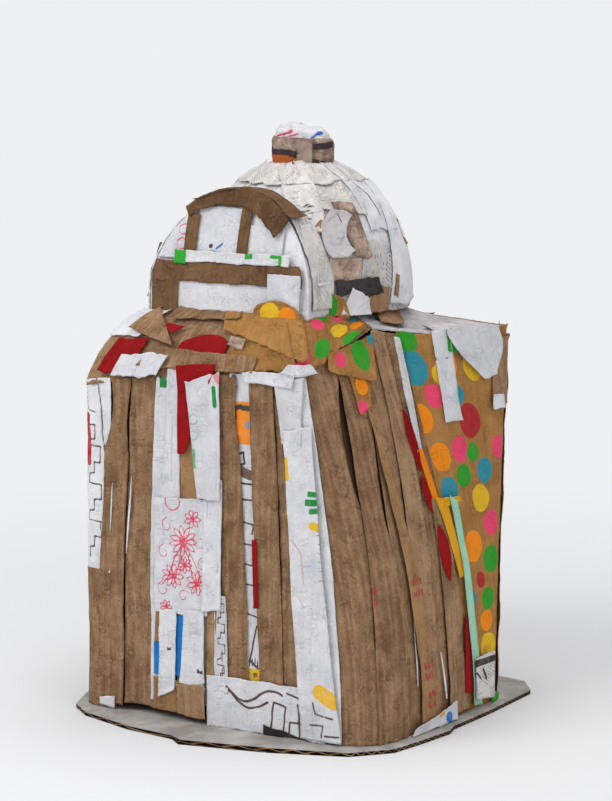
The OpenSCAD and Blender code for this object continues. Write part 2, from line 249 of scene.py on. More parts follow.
def dashes(colour: str, x: Pair, y: float, count: int, tall: float, width: float = 1.3) -> Marks:
    """A row of short upright dashes of uneven height.

    Args:
        colour: hex colour of the dashes.
        x: first and last place of the row.
        y: foot of the row.
        count: number of dashes.
        tall: height of the tallest dash.
        width: width of each dash.

    Returns:
        One mark for each dash.
    """
    rows: list[Mark] = []
    for k in range(count):
        at = mix(x[0], x[1], (k + 0.5) / count)
        high = tall * (0.55 + 0.45 * abs(math.sin(2.3 * k + at)))
        rows.append(Path(colour, ((at, y), (at + 0.3 * width, y + high)), width))
    return tuple(rows)


def spray(colour: str, x: float, y: float, r: float, petals: int, width: float = 1.1) -> Marks:
    """A drawn rosette: loops for petals round a small ring.

    Args:
        colour: hex colour of the lines.
        x: middle across.
        y: middle along.
        r: reach of the petals.
        petals: number of petals.
        width: width of the lines.

    Returns:
        The ring and one path for each petal.
    """
    rows: list[Mark] = [Ring(colour, x, y, 0.26 * r, width)]
    for k in range(petals):
        a = 2 * math.pi * k / petals
        loop = []
        for t in (-0.9, -0.6, 0.0, 0.6, 0.9):
            reach = r * (1 - 0.55 * t * t)
            turn = a + t * math.pi / petals
            loop.append((x + reach * math.cos(turn), y + reach * math.sin(turn)))
        rows.append(Path(colour, tuple([(x, y)] + loop + [(x, y)]), width))
    return tuple(rows)


def lines(colour: str, width: float, *runs: Numbers) -> Marks:
    """Drawn lines of one colour and width, each run holding x and y by turns."""
    return tuple(Path(colour, tuple(zip(run[::2], run[1::2])), width) for run in runs)


def dots(*rows: tuple[str, float, float, float], tall: float = 1.0) -> Marks:
    """Dots, each with its colour, place and radius."""
    return tuple(Dot(*row, tall) for row in rows)


# Shaders
class Wire:
    """A shader socket that takes part in arithmetic."""

    def __init__(self, graph: "Graph", socket: bpy.types.NodeSocket) -> None:
        """Keeps the socket and the graph that it belongs to."""
        self.graph, self.socket = graph, socket

    def _math(self, kind: str, a: "Wire | float", b: "Wire | float") -> "Wire":
        """A math node of two values."""
        return self.graph.node("ShaderNodeMath", {"operation": kind}, {0: a, 1: b})

    def __add__(self, other: "Wire | float") -> "Wire":
        """Sum."""
        return self._math("ADD", self, other)

    __radd__ = __add__

    def __sub__(self, other: "Wire | float") -> "Wire":
        """Difference."""
        return self._math("SUBTRACT", self, other)

    def __rsub__(self, other: float) -> "Wire":
        """Difference from a number."""
        return self._math("SUBTRACT", other, self)

    def __mul__(self, other: "Wire | float") -> "Wire":
        """Product."""
        return self._math("MULTIPLY", self, other)

    __rmul__ = __mul__

    def __truediv__(self, other: "Wire | float") -> "Wire":
        """Quotient."""
        return self._math("DIVIDE", self, other)

    def __rtruediv__(self, other: float) -> "Wire":
        """Quotient of a number."""
        return self._math("DIVIDE", other, self)

    def fade(self, low: float, high: float) -> "Wire":
        """0 below low, 1 above high and smooth between."""
        settings = {"interpolation_type": "SMOOTHSTEP"}
        return self.graph.node("ShaderNodeMapRange", settings, {0: self, 1: low, 2: high, 3: 0.0, 4: 1.0})


class Graph:
    """The node tree of one material, or of the world."""

    def __init__(self, name: str, world: bool = False) -> None:
        """Makes an empty material, or world, of that name.

        Args:
            name: name of the material or world.
            world: whether a world is made.
        """
        self.material = bpy.data.worlds.new(name) if world else bpy.data.materials.new(name)
        self.material.use_nodes = True
        self.tree = self.material.node_tree
        self.tree.nodes.clear()

    def node(self, kind: str, settings: dict | None = None, sockets: dict | None = None, out: int | str = 0) -> Wire:
        """Makes a node of any type: settings first, then the values or links of its sockets.

        Args:
            kind: Blender's name of the node type.
            settings: attributes of the node.
            sockets: socket names or numbers, each with a value or a wire.
            out: name or number of the output that is wanted.

        Returns:
            That output.
        """
        made = self.tree.nodes.new(kind)
        for key, value in (settings or {}).items():
            setattr(made, key, value)
        for key, value in (sockets or {}).items():
            if isinstance(value, Wire):
                self.tree.links.new(value.socket, made.inputs[key])
            else:
                made.inputs[key].default_value = value
        return Wire(self, made.outputs[out]) if len(made.outputs) else Wire(self, made.inputs[0])

    def blend(self, t: Wire | float, a: Wire | str, b: Wire | str) -> Wire:
        """Colour between a and b by t, each a wire or a hex colour."""
        ends = {6: a if isinstance(a, Wire) else linear(a), 7: b if isinstance(b, Wire) else linear(b)}
        return self.node("ShaderNodeMix", {"data_type": "RGBA"}, {0: t, **ends}, 2)

    def grain(self, place: Wire, scale: float, detail: float = 3.0, stretch: Pair = (1.0, 1.0)) -> Wire:
        """Noise texture over a place, with its own stretch across and along."""
        scaled = self.node("ShaderNodeMapping", None, {"Vector": place, "Scale": (stretch[0], stretch[1], 1.0)})
        return self.node("ShaderNodeTexNoise", None, {"Vector": scaled, "Scale": scale, "Detail": detail})

    def number(self, name: str, out: str = "Fac") -> Wire:
        """An attribute of the mesh."""
        return self.node("ShaderNodeAttribute", {"attribute_name": name}, out=out)

    def finish(self, colour: Wire, rough: float, height: Wire, depth: float, strength: float) -> bpy.types.Material:
        """Closes the tree with a matt surface and its bump.

        Args:
            colour: base colour.
            rough: roughness of the surface.
            height: bump height from 0 to 1.
            depth: what a height of 1 stands for, in metres.
            strength: share of the bump that is used.

        Returns:
            The finished material.
        """
        normal = self.node("ShaderNodeBump", None, {"Height": height, "Distance": depth, "Strength": strength})
        sockets = {"Base Color": colour, "Roughness": rough, "Specular IOR Level": 0.12, "Normal": normal}
        shader = self.node("ShaderNodeBsdfPrincipled", None, sockets)
        self.node("ShaderNodeOutputMaterial", None, {"Surface": shader})
        return self.material


# Finishes
@dataclass(frozen=True)
class Paper:
    """A paper: tone that wanders between two colours, fibres, creases and wrinkles with painted light and shade, and
    whatever is printed on it.
    """

    name: str
    slot: str
    light: str
    dark: str
    wander: float = 0.5
    fibre: float = 0.35
    # one amount for the painted light and shade of the creases and wrinkles, and for the depth of the wrinkles' bump
    crease_shade_and_depth: float = 0.35
    rough: float = 0.82
    type_rows: float = 0.0
    ink_fade: float = 0.12
    wash: str = ""

    def material(self) -> bpy.types.Material:
        """The material of this paper, made once."""
        found = bpy.data.materials.get(self.name)
        return found if found else self._make()

    def _make(self) -> bpy.types.Material:
        """Builds the node tree: blotches, streaks, fibres, wrinkles, painted light and shade on the creases and
        wrinkles, rows of type, then ink.

        Returns:
            The finished material.
        """
        g = Graph(self.name)
        place = g.node("ShaderNodeUVMap", {"uv_map": "paper"})
        blotch = g.grain(place, 2.6, 3.0)
        patch = g.grain(place, 13.0, 7.0)
        streak = g.grain(place, 22.0, 4.0, (1.0, 0.08))
        fibres = g.grain(place, 120.0, 4.0, (1.0, 0.35))
        wrinkle = (self._wrinkle(g, place, 4.2) * 0.45 + self._wrinkle(g, place, 9.5) * 0.35
                   + self._wrinkle(g, place, 21.0) * 0.3)
        wrinkle = wrinkle * (0.25 + 1.1 * g.grain(place, 6.5, 2.0).fade(0.42, 0.66))
        crease, tone = g.number("crease"), g.number("tone")
        shade = 0.5 + (blotch - 0.5) * self.wander + (patch - 0.5) * (1.2 * self.wander)
        shade = shade + (streak - 0.5) * (2 * self.fibre)
        # painted light and shade: lighter on the ridges of the crumple, darker in its hollows and along the wrinkle
        # lines
        shade = shade + (fibres - 0.5) * (1.6 * self.fibre) + (crease - 0.62) * self.crease_shade_and_depth
        shade = shade + tone * 0.14 - wrinkle * (0.6 * self.crease_shade_and_depth)
        colour = g.blend(shade.fade(0.0, 1.0), self.dark, self.light)
        if self.wash:
            colour = g.blend(g.grain(place, 3.4, 4.0).fade(0.52, 0.72) * 0.45, colour, self.wash)
        if self.type_rows:
            colour = self._type(g, place, colour)
        ink, hue = g.number("ink"), g.number("ink_colour", "Color")
        cover = ink.fade(INK_REACH - 0.2, INK_REACH + 0.2) * (1.0 - self.ink_fade * patch.fade(0.35, 0.75))
        colour = g.blend(cover, colour, hue)
        height = fibres * 0.12 + patch * 0.35 - wrinkle * (1.6 * self.crease_shade_and_depth)
        return g.finish(colour, self.rough, height, 0.0019, 0.8)

    def _wrinkle(self, g: Graph, place: Wire, scale: float) -> Wire:
        """Thin wandering lines, where a noise passes its middle value."""
        size = g.node("ShaderNodeMath", {"operation": "ABSOLUTE"}, {0: g.grain(place, scale, 2.0) - 0.5})
        return 1.0 - size.fade(0.0, 0.035)

    def _type(self, g: Graph, place: Wire, colour: Wire) -> Wire:
        """Rows of grey ticks that read as small type, in loose blocks.

        Args:
            g: node tree that is being built.
            place: place on the sheet.
            colour: colour of the bare paper.

        Returns:
            Colour of the paper with its type.
        """
        settings = {"Vector": place, "Rotation": (0.0, 0.0, 0.6), "Scale": (34.0, 34.0, 1.0)}
        turned = g.node("ShaderNodeMapping", None, settings)
        row = g.node("ShaderNodeSeparateXYZ", None, {0: turned}, 1)
        line = g.node("ShaderNodeMath", {"operation": "PINGPONG"}, {0: row, 1: 0.5})
        letters = g.grain(turned, 4.5, 1.0, (1.0, 0.4))
        words = g.grain(turned, 0.9, 0.0, (1.0, 0.05))
        block = g.grain(place, 2.6, 0.0)
        cover = line.fade(0.26, 0.34) * letters.fade(0.42, 0.5) * words.fade(0.4, 0.44)
        return g.blend(cover * block.fade(0.58, 0.62) * self.type_rows, colour, "#55524f")


@dataclass(frozen=True)
class Carton:
    """Brown board: a grey-white liner on its upper face where wanted, brown flutes and cut edges, and painted shade in
    the flutes' tunnels.
    """

    name: str
    slot: str
    liner: str
    core: str
    liner_above: float
    pitch: float = 0.0
    thick: float = 0.004
    skin: float = 0.0006
    start: float = 0.1785
    offset: float = 0.0003
    web: float = 0.0008
    gap: float = 0.0006

    def material(self) -> bpy.types.Material:
        """Builds the node tree from the place in the object.

        Returns:
            The finished material.
        """
        g = Graph(self.name)
        place = g.node("ShaderNodeTexCoord", out="Object")
        up = g.node("ShaderNodeSeparateXYZ", None, {0: place}, 2)
        stain = g.grain(place, 14.0, 5.0)
        fine = g.grain(place, 420.0, 2.0)
        scuff = g.grain(place, 60.0, 6.0)
        shade = 0.5 + (stain - 0.5) * 1.2 + (scuff - 0.5) * 0.9 + (fine - 0.5) * 0.3
        top = g.blend(shade.fade(0.15, 0.85), "#908c88", self.liner)
        side = g.blend(shade.fade(0.1, 0.9), "#4d3b2d", self.core)
        if self.pitch:
            # painted shade: near black in the flutes' tunnels and on their walls
            side = g.blend(self._flute_shade_mask(g, place, up), "#150d08", side)
        colour = g.blend(up.fade(self.liner_above - 0.0004, self.liner_above), side, top)
        return g.finish(colour, 0.85, fine * 0.5 + scuff * 0.5, 0.0008, 0.6)

    def _flute_shade_mask(self, g: Graph, place: Wire, up: Wire) -> Wire:
        """Finds the three-cornered tunnels of the board, which get painted shade.

        Args:
            g: node tree that is being built.
            place: place in the object.
            up: height above the floor.

        Returns:
            0 in the tunnels and on their walls, 1 in the paper between them.
        """
        along = g.node("ShaderNodeSeparateXYZ", None, {0: place}, 1) + self.start
        half, near = self.pitch / 2, []
        sides = ((half - self.offset, up - self.skin), (2 * half - self.offset, self.thick - self.skin - up))
        for middle, height in sides:
            settings = {0: (along - middle) / self.pitch, 1: 0.5}
            off = g.node("ShaderNodeMath", {"operation": "PINGPONG"}, settings) * self.pitch
            near.append(off / (half - self.web) + height / (self.thick - 2 * self.skin - self.gap))
        return g.node("ShaderNodeMath", {"operation": "MINIMUM"}, {0: near[0], 1: near[1]}).fade(1.0, 1.12)


class Stock(Enum):
    """The papers of the model."""

    KRAFT = Paper("kraft_look", "kraft_brown", "#b29171", "#73553b", 0.5, 0.5, 0.42)
    LIGHT = Paper("light_kraft_look", "kraft_light", "#b2854e", "#865d30", 0.45, 0.3, 0.35)
    DEEP = Paper("deep_look", "kraft_brown", "#7e6044", "#523b28", 0.5, 0.4, 0.5)
    TAB = Paper("tab_look", "kraft_light", "#b08a60", "#7f5f40", 0.4, 0.35, 0.4)
    DOTTED = Paper("dotted_kraft_look", "dotted_kraft", "#b58650", "#8a5f31", 0.45, 0.3, 0.35)
    WHITE = Paper("white_look", "white_paper", "#ececee", "#bebec3", 0.45, 0.15, 0.3, wash="#bcc4cf")
    NEWS = Paper("news_look", "newsprint", "#e0dedc", "#aca8a4", 0.7, 0.2, 0.4, 0.85, 0.6)
    # grey paper; on the dome's white fold it stands for white paper in painted shade
    GREY = Paper("grey_look", "newsprint", "#c9c5c7", "#9c9598", 0.7, 0.2, 0.4)
    RED = Paper("red_look", "red_paper", "#a0161b", "#780c10", 0.4, 0.2, 0.3)
    BLUE = Paper("blue_look", "white_paper", "#2a86d0", "#1168b0", 0.4, 0.2, 0.2)
    ORANGE = Paper("orange_look", "red_paper", "#ee8c1f", "#d97412", 0.4, 0.2, 0.2)
    GREEN = Paper("green_look", "dotted_kraft", "#34a834", "#2a8a2a", 0.4, 0.2, 0.2)
    YELLOW = Paper("yellow_look", "red_paper", "#e4ae32", "#cf9218", 0.4, 0.2, 0.2)
    MINT = Paper("mint_look", "mint_paper", "#b2dfc8", "#93c8ad", 0.4, 0.15, 0.3)
    # dark paper: the dome's dark piece, and painted shadow at the front wall's foot
    DARK = Paper("dark_look", "dark_print", "#4a4646", "#2b2828", 0.8, 0.3, 0.5)
    MOTTLED = Paper("mottled_look", "newsprint", "#c6ad9b", "#6f5c52", 1.5, 0.3, 0.5)


BROWN, INK, GREEN, TEAL = "#54423d", "#3b3435", "#2f9a2f", "#2a8ea0"
ORANGE, YELLOW, PINK, RED, BLUE = "#f08c1e", "#dfb52a", "#e8476f", "#ad2a33", "#1c79c4"
LEAF, ROSE, SKY = "#0f8a3c", "#cf4460", "#2f62b0"


# The building's surfaces
@dataclass(frozen=True)
class Plan:
    """A ring with rounded corners, anticlockwise from the building's front left corner.

    A place u on the ring is a corner's number plus the share of the side that follows it.
    """

    corners: Array
    rounds: Array

    def side(self, i: int) -> float:
        """Length of the side that starts at corner i."""
        n = len(self.corners)
        return float(np.linalg.norm(self.corners[(i + 1) % n] - self.corners[i % n]))

    def run(self, u: float) -> float:
        """Length of the ring from its first corner to the place u.

        Args:
            u: place on the ring, negative on the side before the first corner.

        Returns:
            Length in mm.
        """
        if u < 0:
            return u * self.side(-1)
        whole = int(u)
        return sum(self.side(i) for i in range(whole)) + (u - whole) * self.side(whole)

    def point(self, u: Array) -> Array:
        """Points of the ring: straight sides, and at each corner a curve of the second degree between them.

        Args:
            u: places on the ring.

        Returns:
            Points of the plan.
        """
        i = np.floor(u).astype(int)
        f = (u - i)[..., None]
        before, c0, c1, after = (self.corners[(i + k) % len(self.corners)] for k in (-1, 0, 1, 2))
        r0, r1 = (self.rounds[(i + k) % len(self.rounds)][..., None] for k in (0, 1))
        long = np.linalg.norm(c1 - c0, axis=-1, keepdims=True)
        d, rest = f * long, (1 - f) * long
        near = self._corner(before, c0, c1, r0, 0.5 + 0.5 * d / r0)
        far = self._corner(c0, c1, after, r1, 0.5 - 0.5 * rest / r1)
        return np.where(d < r0, near, np.where(rest < r1, far, mix(c0, c1, f)))

    @staticmethod
    def _corner(p: Array, c: Array, n: Array, r: Array, t: Array) -> Array:
        """Points at t on the curve of size r that rounds the corner c between p and n.

        Args:
            p: corners before.
            c: corners.
            n: corners after.
            r: lengths that the curves take from each side.
            t: shares of the curves.

        Returns:
            Points of the plan.
        """
        a = c + (p - c) * r / np.linalg.norm(p - c, axis=-1, keepdims=True)
        b = c + (n - c) * r / np.linalg.norm(n - c, axis=-1, keepdims=True)
        return (1 - t) ** 2 * a + 2 * t * (1 - t) * c + t * t * b


@dataclass
class Body:
    """Plan, heights and curves of the building, and its surfaces as functions of two parameters.

    A surface takes the numbers of one sheet and the parameters across and along it, both from 0 to 1. It gives the
    points and the places across and along in mm, by which prints and creases are laid out.
    """

    left: float = 164
    right: float = 142
    front: float = 113
    back: float = 154
    swell: float = 26
    arm: float = 232
    reach: float = 160
    wing: float = 102
    lean_power: float = 1.8
    mean_eave: float = 345
    eave_share: float = 0.98
    board: float = 4.2
    slope: float = 80
    roof_power: float = 1.15
    level_power: float = 4
    ring_z: float = 384.15
    drum_z: float = 383
    dome_at: Pair = (-19, 48)
    dome_r: float = 99
    dome_h: float = 137
    dome_full: float = 2.2
    dome_degree: float = 1.5
    dome_arc: float = 172
    dome_inset: float = 9
    vault_x: float = -31
    vault_half: float = 82
    vault_front: float = -70
    vault_side: float = 16
    vault_rise: float = 91
    vault_lean: float = 22
    vault_inset: float = 5
    cap_share: float = 1.085
    cap_size: Pair = (120, 20)
    skirt: float = 12
    tunnel_size: Pair = (300, 60)

    def __post_init__(self) -> None:
        """Lays out the rings of the foot, the eaves and the drum, and what changes along the eaves."""
        r, s, a, w = self.right, self.swell, self.arm - self.left, self.wing
        x, h, y = self.vault_x, self.vault_half - self.vault_inset, self.vault_front + self.vault_inset
        ring, turns = self.dome_r - self.dome_inset, [math.radians(t) for t in (-28, 5, 42, 78, 140)]
        under = [[self.dome_at[0] + ring * math.cos(t), self.dome_at[1] + ring * math.sin(t)] for t in turns]
        foot = [[-self.left, -self.front], [r, 7 - self.front], [r + 0.6 * s, 0], [r + 0.7 * s, 0.47 * w],
                [r + s, w - 8], [r - 22, self.back], [-self.left, self.back]]
        eave = [[1 - self.left, -self.front], [a + 1, 14 - self.front], [a + 14, -2], [self.reach - 17, 0],
                [self.reach + 14, w], [r - 22, self.back - 3], [1 - self.left, self.back - 3]]
        self.foot = Plan(np.array(foot, float), np.array([12, 42, 20, 15, 12, 30, 30], float))
        self.eave = Plan(np.array(eave, float), np.array([12, 14, 20, 14, 12, 30, 30], float))
        self.drum = Plan(np.array([[x - h, y], [x + h, y]] + under), np.array([8, 8, 14, 18, 18, 18, 25], float))
        self.eave_z = np.array([318, 339, 371, 367, 367, 359, 339], float)
        self.flat = np.array([0, 0, 0.6, 1, 1, 0.6, 0], float)

    @staticmethod
    def at_corners(values: Array, u: Array) -> Array:
        """Values at places on a ring, from a list that has one for each corner."""
        i = np.floor(u).astype(int)
        return mix(values[i % len(values)], values[(i + 1) % len(values)], u - i)

    @staticmethod
    def _patch(n: Numbers, a: Array, b: Array) -> tuple[Array, Array]:
        """Places in a patch whose four corners run anticlockwise from the lower left.

        Args:
            n: both places of each corner.
            a: parameter across.
            b: parameter along.

        Returns:
            Places across and along.
        """
        c = np.array(n[:8], float).reshape(4, 2)
        at = mix(mix(c[0], c[1], a[..., None]), mix(c[3], c[2], a[..., None]), b[..., None])
        return at[..., 0], at[..., 1]

    @staticmethod
    def _ruled(ends: list[float], a: Array, b: Array) -> Array:
        """Places between two at the lower edge and two at the upper edge."""
        return mix(mix(ends[0], ends[1], a), mix(ends[2], ends[3], a), b)

    def along(self, s: Array, lean: Array) -> Array:
        """Finds places round the wall by the distance from the first corner; sides grow or shrink with the lean.

        Args:
            s: distances in mm.
            lean: 0 at the foot, 1 at the eaves.

        Returns:
            Places on the ring.
        """
        u, start = np.full(s.shape, -1.0), np.zeros(s.shape)
        u = np.where(s < 0, s / mix(self.foot.side(-1), self.eave.side(-1), lean), u)
        for i in range(len(self.eave_z)):
            long = mix(self.foot.side(i), self.eave.side(i), lean)
            u = np.where((s >= start) & (s <= start + long), i + (s - start) / long, u)
            start = start + long
        return u

    def wall(self, u: Array, h: Array) -> Array:
        """Points outside the walls: the rings of the foot and the eaves blend by the lean.

        Args:
            u: places on the rings.
            h: shares of the height.

        Returns:
            Points.
        """
        lean = (np.maximum(h, 0) ** self.lean_power)[..., None]
        plan = mix(self.foot.point(u), self.eave.point(u), lean)
        return np.concatenate([plan, mix(self.board, self.at_corners(self.eave_z, u), h)[..., None]], -1)

    def strip(self, first: int, tuck: float, n: Numbers, a: Array, b: Array) -> Spots:
        """Strip that leans straight from its place at the foot to its place at the eaves.

        Args:
            first: corner that the distance is measured from.
            tuck: share of the height by which a strip that reaches the eaves goes under the roof.
            n: from and to along the foot, from and to along the eaves, lowest and highest share of the height.
            a: parameter across.
            b: parameter along.

        Returns:
            Points, distance along the wall and height.
        """
        ends = [self.foot.run(u) for u in n[:2]] + [self.eave.run(u) for u in n[2:4]]
        h = mix(n[4], n[5] + tuck if n[5] > self.eave_share else n[5], b)
        lean = np.maximum(h, 0) ** self.lean_power
        s = self._ruled(ends, a, lean)
        p = self.wall(self.along(s, lean), h)
        return p, s - mix(self.foot.run(first), self.eave.run(first), lean), p[..., 2]

    def scrap(self, first: int, n: Numbers, a: Array, b: Array) -> Spots:
        """Scrap on the wall; its share of the height is found in a few rounds, since the eaves change with the place.

        Args:
            first: corner of the building that distances are measured from.
            n: distance along the wall and height of each corner.
            a: parameter across.
            b: parameter along.

        Returns:
            Points, distance along the wall and height.
        """
        x, z = self._patch(n, a, b)
        h = z / self.mean_eave
        for _ in range(5):
            lean = np.maximum(h, 0) ** self.lean_power
            u = self.along(x + mix(self.foot.run(first), self.eave.run(first), lean), lean)
            h = (z - self.board) / (self.at_corners(self.eave_z, u) - self.board)
        return self.wall(u, h), x, z

    def _roof(self, s: Array, k: Array) -> Spots:
        """Roof between eaves and drum, which swells where flat is 0 and lies level where it is 1.

        Args:
            s: distance along the eaves.
            k: share of the slope.

        Returns:
            Points, distance along the eaves and up the slope.
        """
        u = self.along(s, np.ones(s.shape))
        plan = mix(self.eave.point(u), self.drum.point(u), (np.maximum(k, 0) ** self.roof_power)[..., None])
        level = np.maximum(k, 0) ** self.level_power
        rise = mix(1 - (1 - np.minimum(k, 1)) ** 2, level, self.at_corners(self.flat, u))
        z = mix(self.at_corners(self.eave_z, u), self.drum_z, rise)
        return np.concatenate([plan, z[..., None]], -1), s, self.slope * k

    def roof(self, n: Numbers, a: Array, b: Array) -> Spots:
        """Sheet of the roof: from and to along its lower edge and its upper edge, and its shares of the slope."""
        return self._roof(self._ruled([self.eave.run(u) for u in n[:4]], a, b), mix(n[4], n[5], b))

    def roof_scrap(self, n: Numbers, a: Array, b: Array) -> Spots:
        """Scrap on the roof: distance along the eaves and share of the slope of each corner."""
        return self._roof(*self._patch(n, a, b))

    def _dome(self, turn: Array, up: Array) -> Array:
        """Points of the dome: radius and height are powers of the arc's cosine and sine.

        Args:
            turn: degrees round the axis.
            up: shares of the arc.

        Returns:
            Points.
        """
        s, t = np.clip(up, 0.0, 0.999) * math.pi / 2, np.radians(turn)
        r = self.dome_r * np.cos(s) ** (2 / self.dome_full)
        z = self.ring_z + self.dome_h * np.sin(s) ** (2 / self.dome_full)
        return np.stack([self.dome_at[0] + r * np.cos(t), self.dome_at[1] + r * np.sin(t), z], -1)

    def dome(self, n: Numbers, a: Array, b: Array) -> Spots:
        """Sheet of the dome: degrees from and to at its lower edge and its upper edge, and its shares of the arc."""
        turn, up = self._ruled(list(n[:4]), a, b), mix(n[4], n[5], b)
        return self._dome(turn, up), turn * self.dome_degree, up * self.dome_arc

    def dome_scrap(self, n: Numbers, a: Array, b: Array) -> Spots:
        """Scrap on the dome: degrees and share of the arc of each corner, and the degrees by which its middle bows."""
        turn, up = self._patch(n, a, b)
        return self._dome(turn + n[8] * 4 * b * (1 - b), up), turn * self.dome_degree, up * self.dome_arc

    def _front(self, x: Array, up: Array) -> Array:
        """Points of the vault's front by distance from its middle and height above its foot."""
        return np.stack([self.vault_x + x, self._leaning(up), self.ring_z + up], -1)

    def _leaning(self, up: Array) -> Array:
        """The vault's front leans back with the square of the height."""
        return self.vault_front + self.vault_lean * (up / (self.vault_side + self.vault_rise)) ** 2

    def vault(self, n: Numbers, a: Array, b: Array) -> Spots:
        """Sheet on the vault's front, kept inside the arch, which is a half ellipse on straight sides.

        Args:
            n: from and to across the front, from and to above its foot, and how far the arch is grown.
            a: parameter across.
            b: parameter along.

        Returns:
            Points, distance across and height.
        """
        up = mix(n[2], n[3], b)
        t = np.clip((up - self.vault_side) / (self.vault_rise + n[4]), 0, 1)
        w = (self.vault_half + n[4]) * np.sqrt(1 - t * t)
        x = mix(np.maximum(n[0], -w), np.minimum(n[1], w), a)
        return self._front(x, up), x, up

    def arch_band(self, n: Numbers, a: Array, b: Array) -> Spots:
        """Band on the vault's front that follows the arch.

        Args:
            n: degrees from and to, and the share of the arch at each end of the inner edge.
            a: parameter across.
            b: parameter along.

        Returns:
            Points, distance along the band and across it.
        """
        t, share = np.radians(mix(n[0], n[1], a)), mix(mix(n[2], n[3], a), self.cap_share, b)
        x, z = self.vault_half * np.cos(t) * share, self.vault_side + self.vault_rise * np.sin(t) * share
        return self._front(x, z), a * self.cap_size[0], b * self.cap_size[1]

    def tunnel(self, n: Numbers, a: Array, b: Array) -> Spots:
        """Sheet on the vault's tunnel: the arch, drawn back until it meets the dome.

        Args:
            n: from and to as shares of the way over the arch, from and to as shares of the way to the dome.
            a: parameter across.
            b: parameter along.

        Returns:
            Points, distance over the arch and depth.
        """
        over, deep = mix(n[0], n[1], a), mix(n[2], n[3], b)
        turn = mix(180 + self.skirt, -self.skirt, over)
        t = np.radians(np.clip(turn, 0, 180))
        x = self.vault_x + self.vault_half * np.cos(t)
        upright = self.vault_side * (90 + self.skirt - np.abs(turn - 90)) / self.skirt
        z = np.where((turn < 0) | (turn > 180), upright, self.vault_side + self.vault_rise * np.sin(t))
        front = self._leaning(z)
        full = np.clip(z / self.dome_h, 0, 1) ** self.dome_full
        r = self.dome_r * (1 - full) ** (1 / self.dome_full) + 1
        back = self.dome_at[1] - np.sqrt(np.maximum(r * r - (x - self.dome_at[0]) ** 2, 0))
        y = mix(front, np.maximum(back, front + 2), deep)
        return np.stack([x, y, self.ring_z + z], -1), over * self.tunnel_size[0], deep * self.tunnel_size[1]


# Sheets
@dataclass(frozen=True)
class Cut:
    """How a sheet is cut, torn and crumpled, in mm: wavy sides, torn ends, lifted sides, creases.

    Notches are hollows in a side: -1 for the left or 1 for the right, middle and half length as shares, depth.
    """

    wave: float = 0.9
    tear: Pair = (0.7, 0.7)
    curl: float = 1.6
    crumple: float = 1.9
    cell: float = 22.0
    pinch: float = 0.0
    arch: float = 0.0
    notches: tuple[tuple[int, float, float, float], ...] = ()
    spread: float = 0.5
    own: float = 0.45
    sway: float = 0.0


class Edge(Enum):
    """The ways in which the sheets are cut."""

    PLAIN = Cut()
    GAP = Cut(notches=((-1, 0.9, 0.11, 6.5), (1, 0.87, 0.1, 3.5)))
    NICK = Cut(notches=((1, 0.88, 0.08, 2.5),))
    SLIT_1 = Cut(notches=((1, 0.78, 0.17, 9.0), (1, 0.3, 0.07, 3.0)))
    SLIT_2 = Cut(notches=((1, 0.66, 0.2, 6.0),))
    SLIT_3 = Cut(notches=((1, 0.5, 0.2, 3.0),))
    SLIT_5 = Cut(notches=((-1, 0.62, 0.2, 3.0),))
    THIN = Cut(wave=0.4, curl=0.6, crumple=0.8)
    FLAT = Cut(curl=0.4)
    LOW = Cut(curl=0.8)
    TAG = Cut(curl=1.0)
    RAISED = Cut(curl=2.0)
    LIFTED = Cut(curl=3.0)
    EAVES = Cut(wave=1.2, curl=2.4)
    SLIVER = Cut(0.3, (0, 0), 0.2, 0.8, pinch=0.96, spread=0.1)
    SPLIT = Cut(0.6, (0, 0), 0.2, 0.8, pinch=0.96, spread=0.1)
    LENS = Cut(pinch=0.9, crumple=0.8)
    WING = Cut(pinch=0.2, curl=3.0)
    TAPER = Cut(0.8, (0.5, 0.5), pinch=0.4)
    SWAY = Cut(0.8, (0.6, 1.0), 1.2, 1.2, sway=-22.0)
    SHARD = Cut(1.2, (1, 1), 1, 1)
    HANGING = Cut(0.9, (1, 1), 2.0)
    RUNNER = Cut(0.8, (0.5, 1.5), 1.2)
    FRONT = Cut(1.2, (1.0, 2.4), 1.4, 1.6)
    TORN = Cut(curl=2.4, wave=1.8, tear=(1.8, 1.8))
    SOFT = Cut(crumple=3.6, cell=30, curl=0.5, wave=0.5)
    FLAP = Cut(tear=(1.5, 1.5), curl=2.6)
    ARCHED = Cut(tear=(0.6, 0.6), curl=1.2, arch=0.35)
    STAR = Cut(curl=2.0, crumple=2.4)
    FOLD = Cut(curl=3.0, crumple=2.6)
    BAND = Cut(curl=3.0, crumple=2.8)
    RIDGE = Cut(1.0, (0.5, 2.0), 1.0, 1.6)
    PANEL = Cut(0, (0, 0), 0, 0.8)
    TUNNEL = Cut(0.5, (0.8, 0.5), 0, 2.4)
    FIRM = Cut(crumple=1.1, curl=0.8, tear=(0.6, 0.6), wave=0.7)
    BOWED = Cut(tear=(0.4, 1.6), curl=2.0, arch=0.4)
    CAP = Cut(curl=1.4, tear=(1, 0.4))
    LAID = Cut(tear=(1.5, 1.5), curl=2.2, crumple=2.2)
    SHELL = Cut(crumple=3.4, cell=22)
    LOOSE = Cut(wave=1.2, tear=(1.6, 1.6), curl=1.5, crumple=2.6, cell=20, own=0.25)
    CROWN = Cut(1.2, (3.4, 1.6), 1.5, 2.6, 20, own=0.25)
    SEAM = Cut(wave=1.4, tear=(0, 0), curl=0.6, crumple=1.6, pinch=0.9)
    KNOB = Cut(tear=(0, 0), crumple=5.5, cell=19)


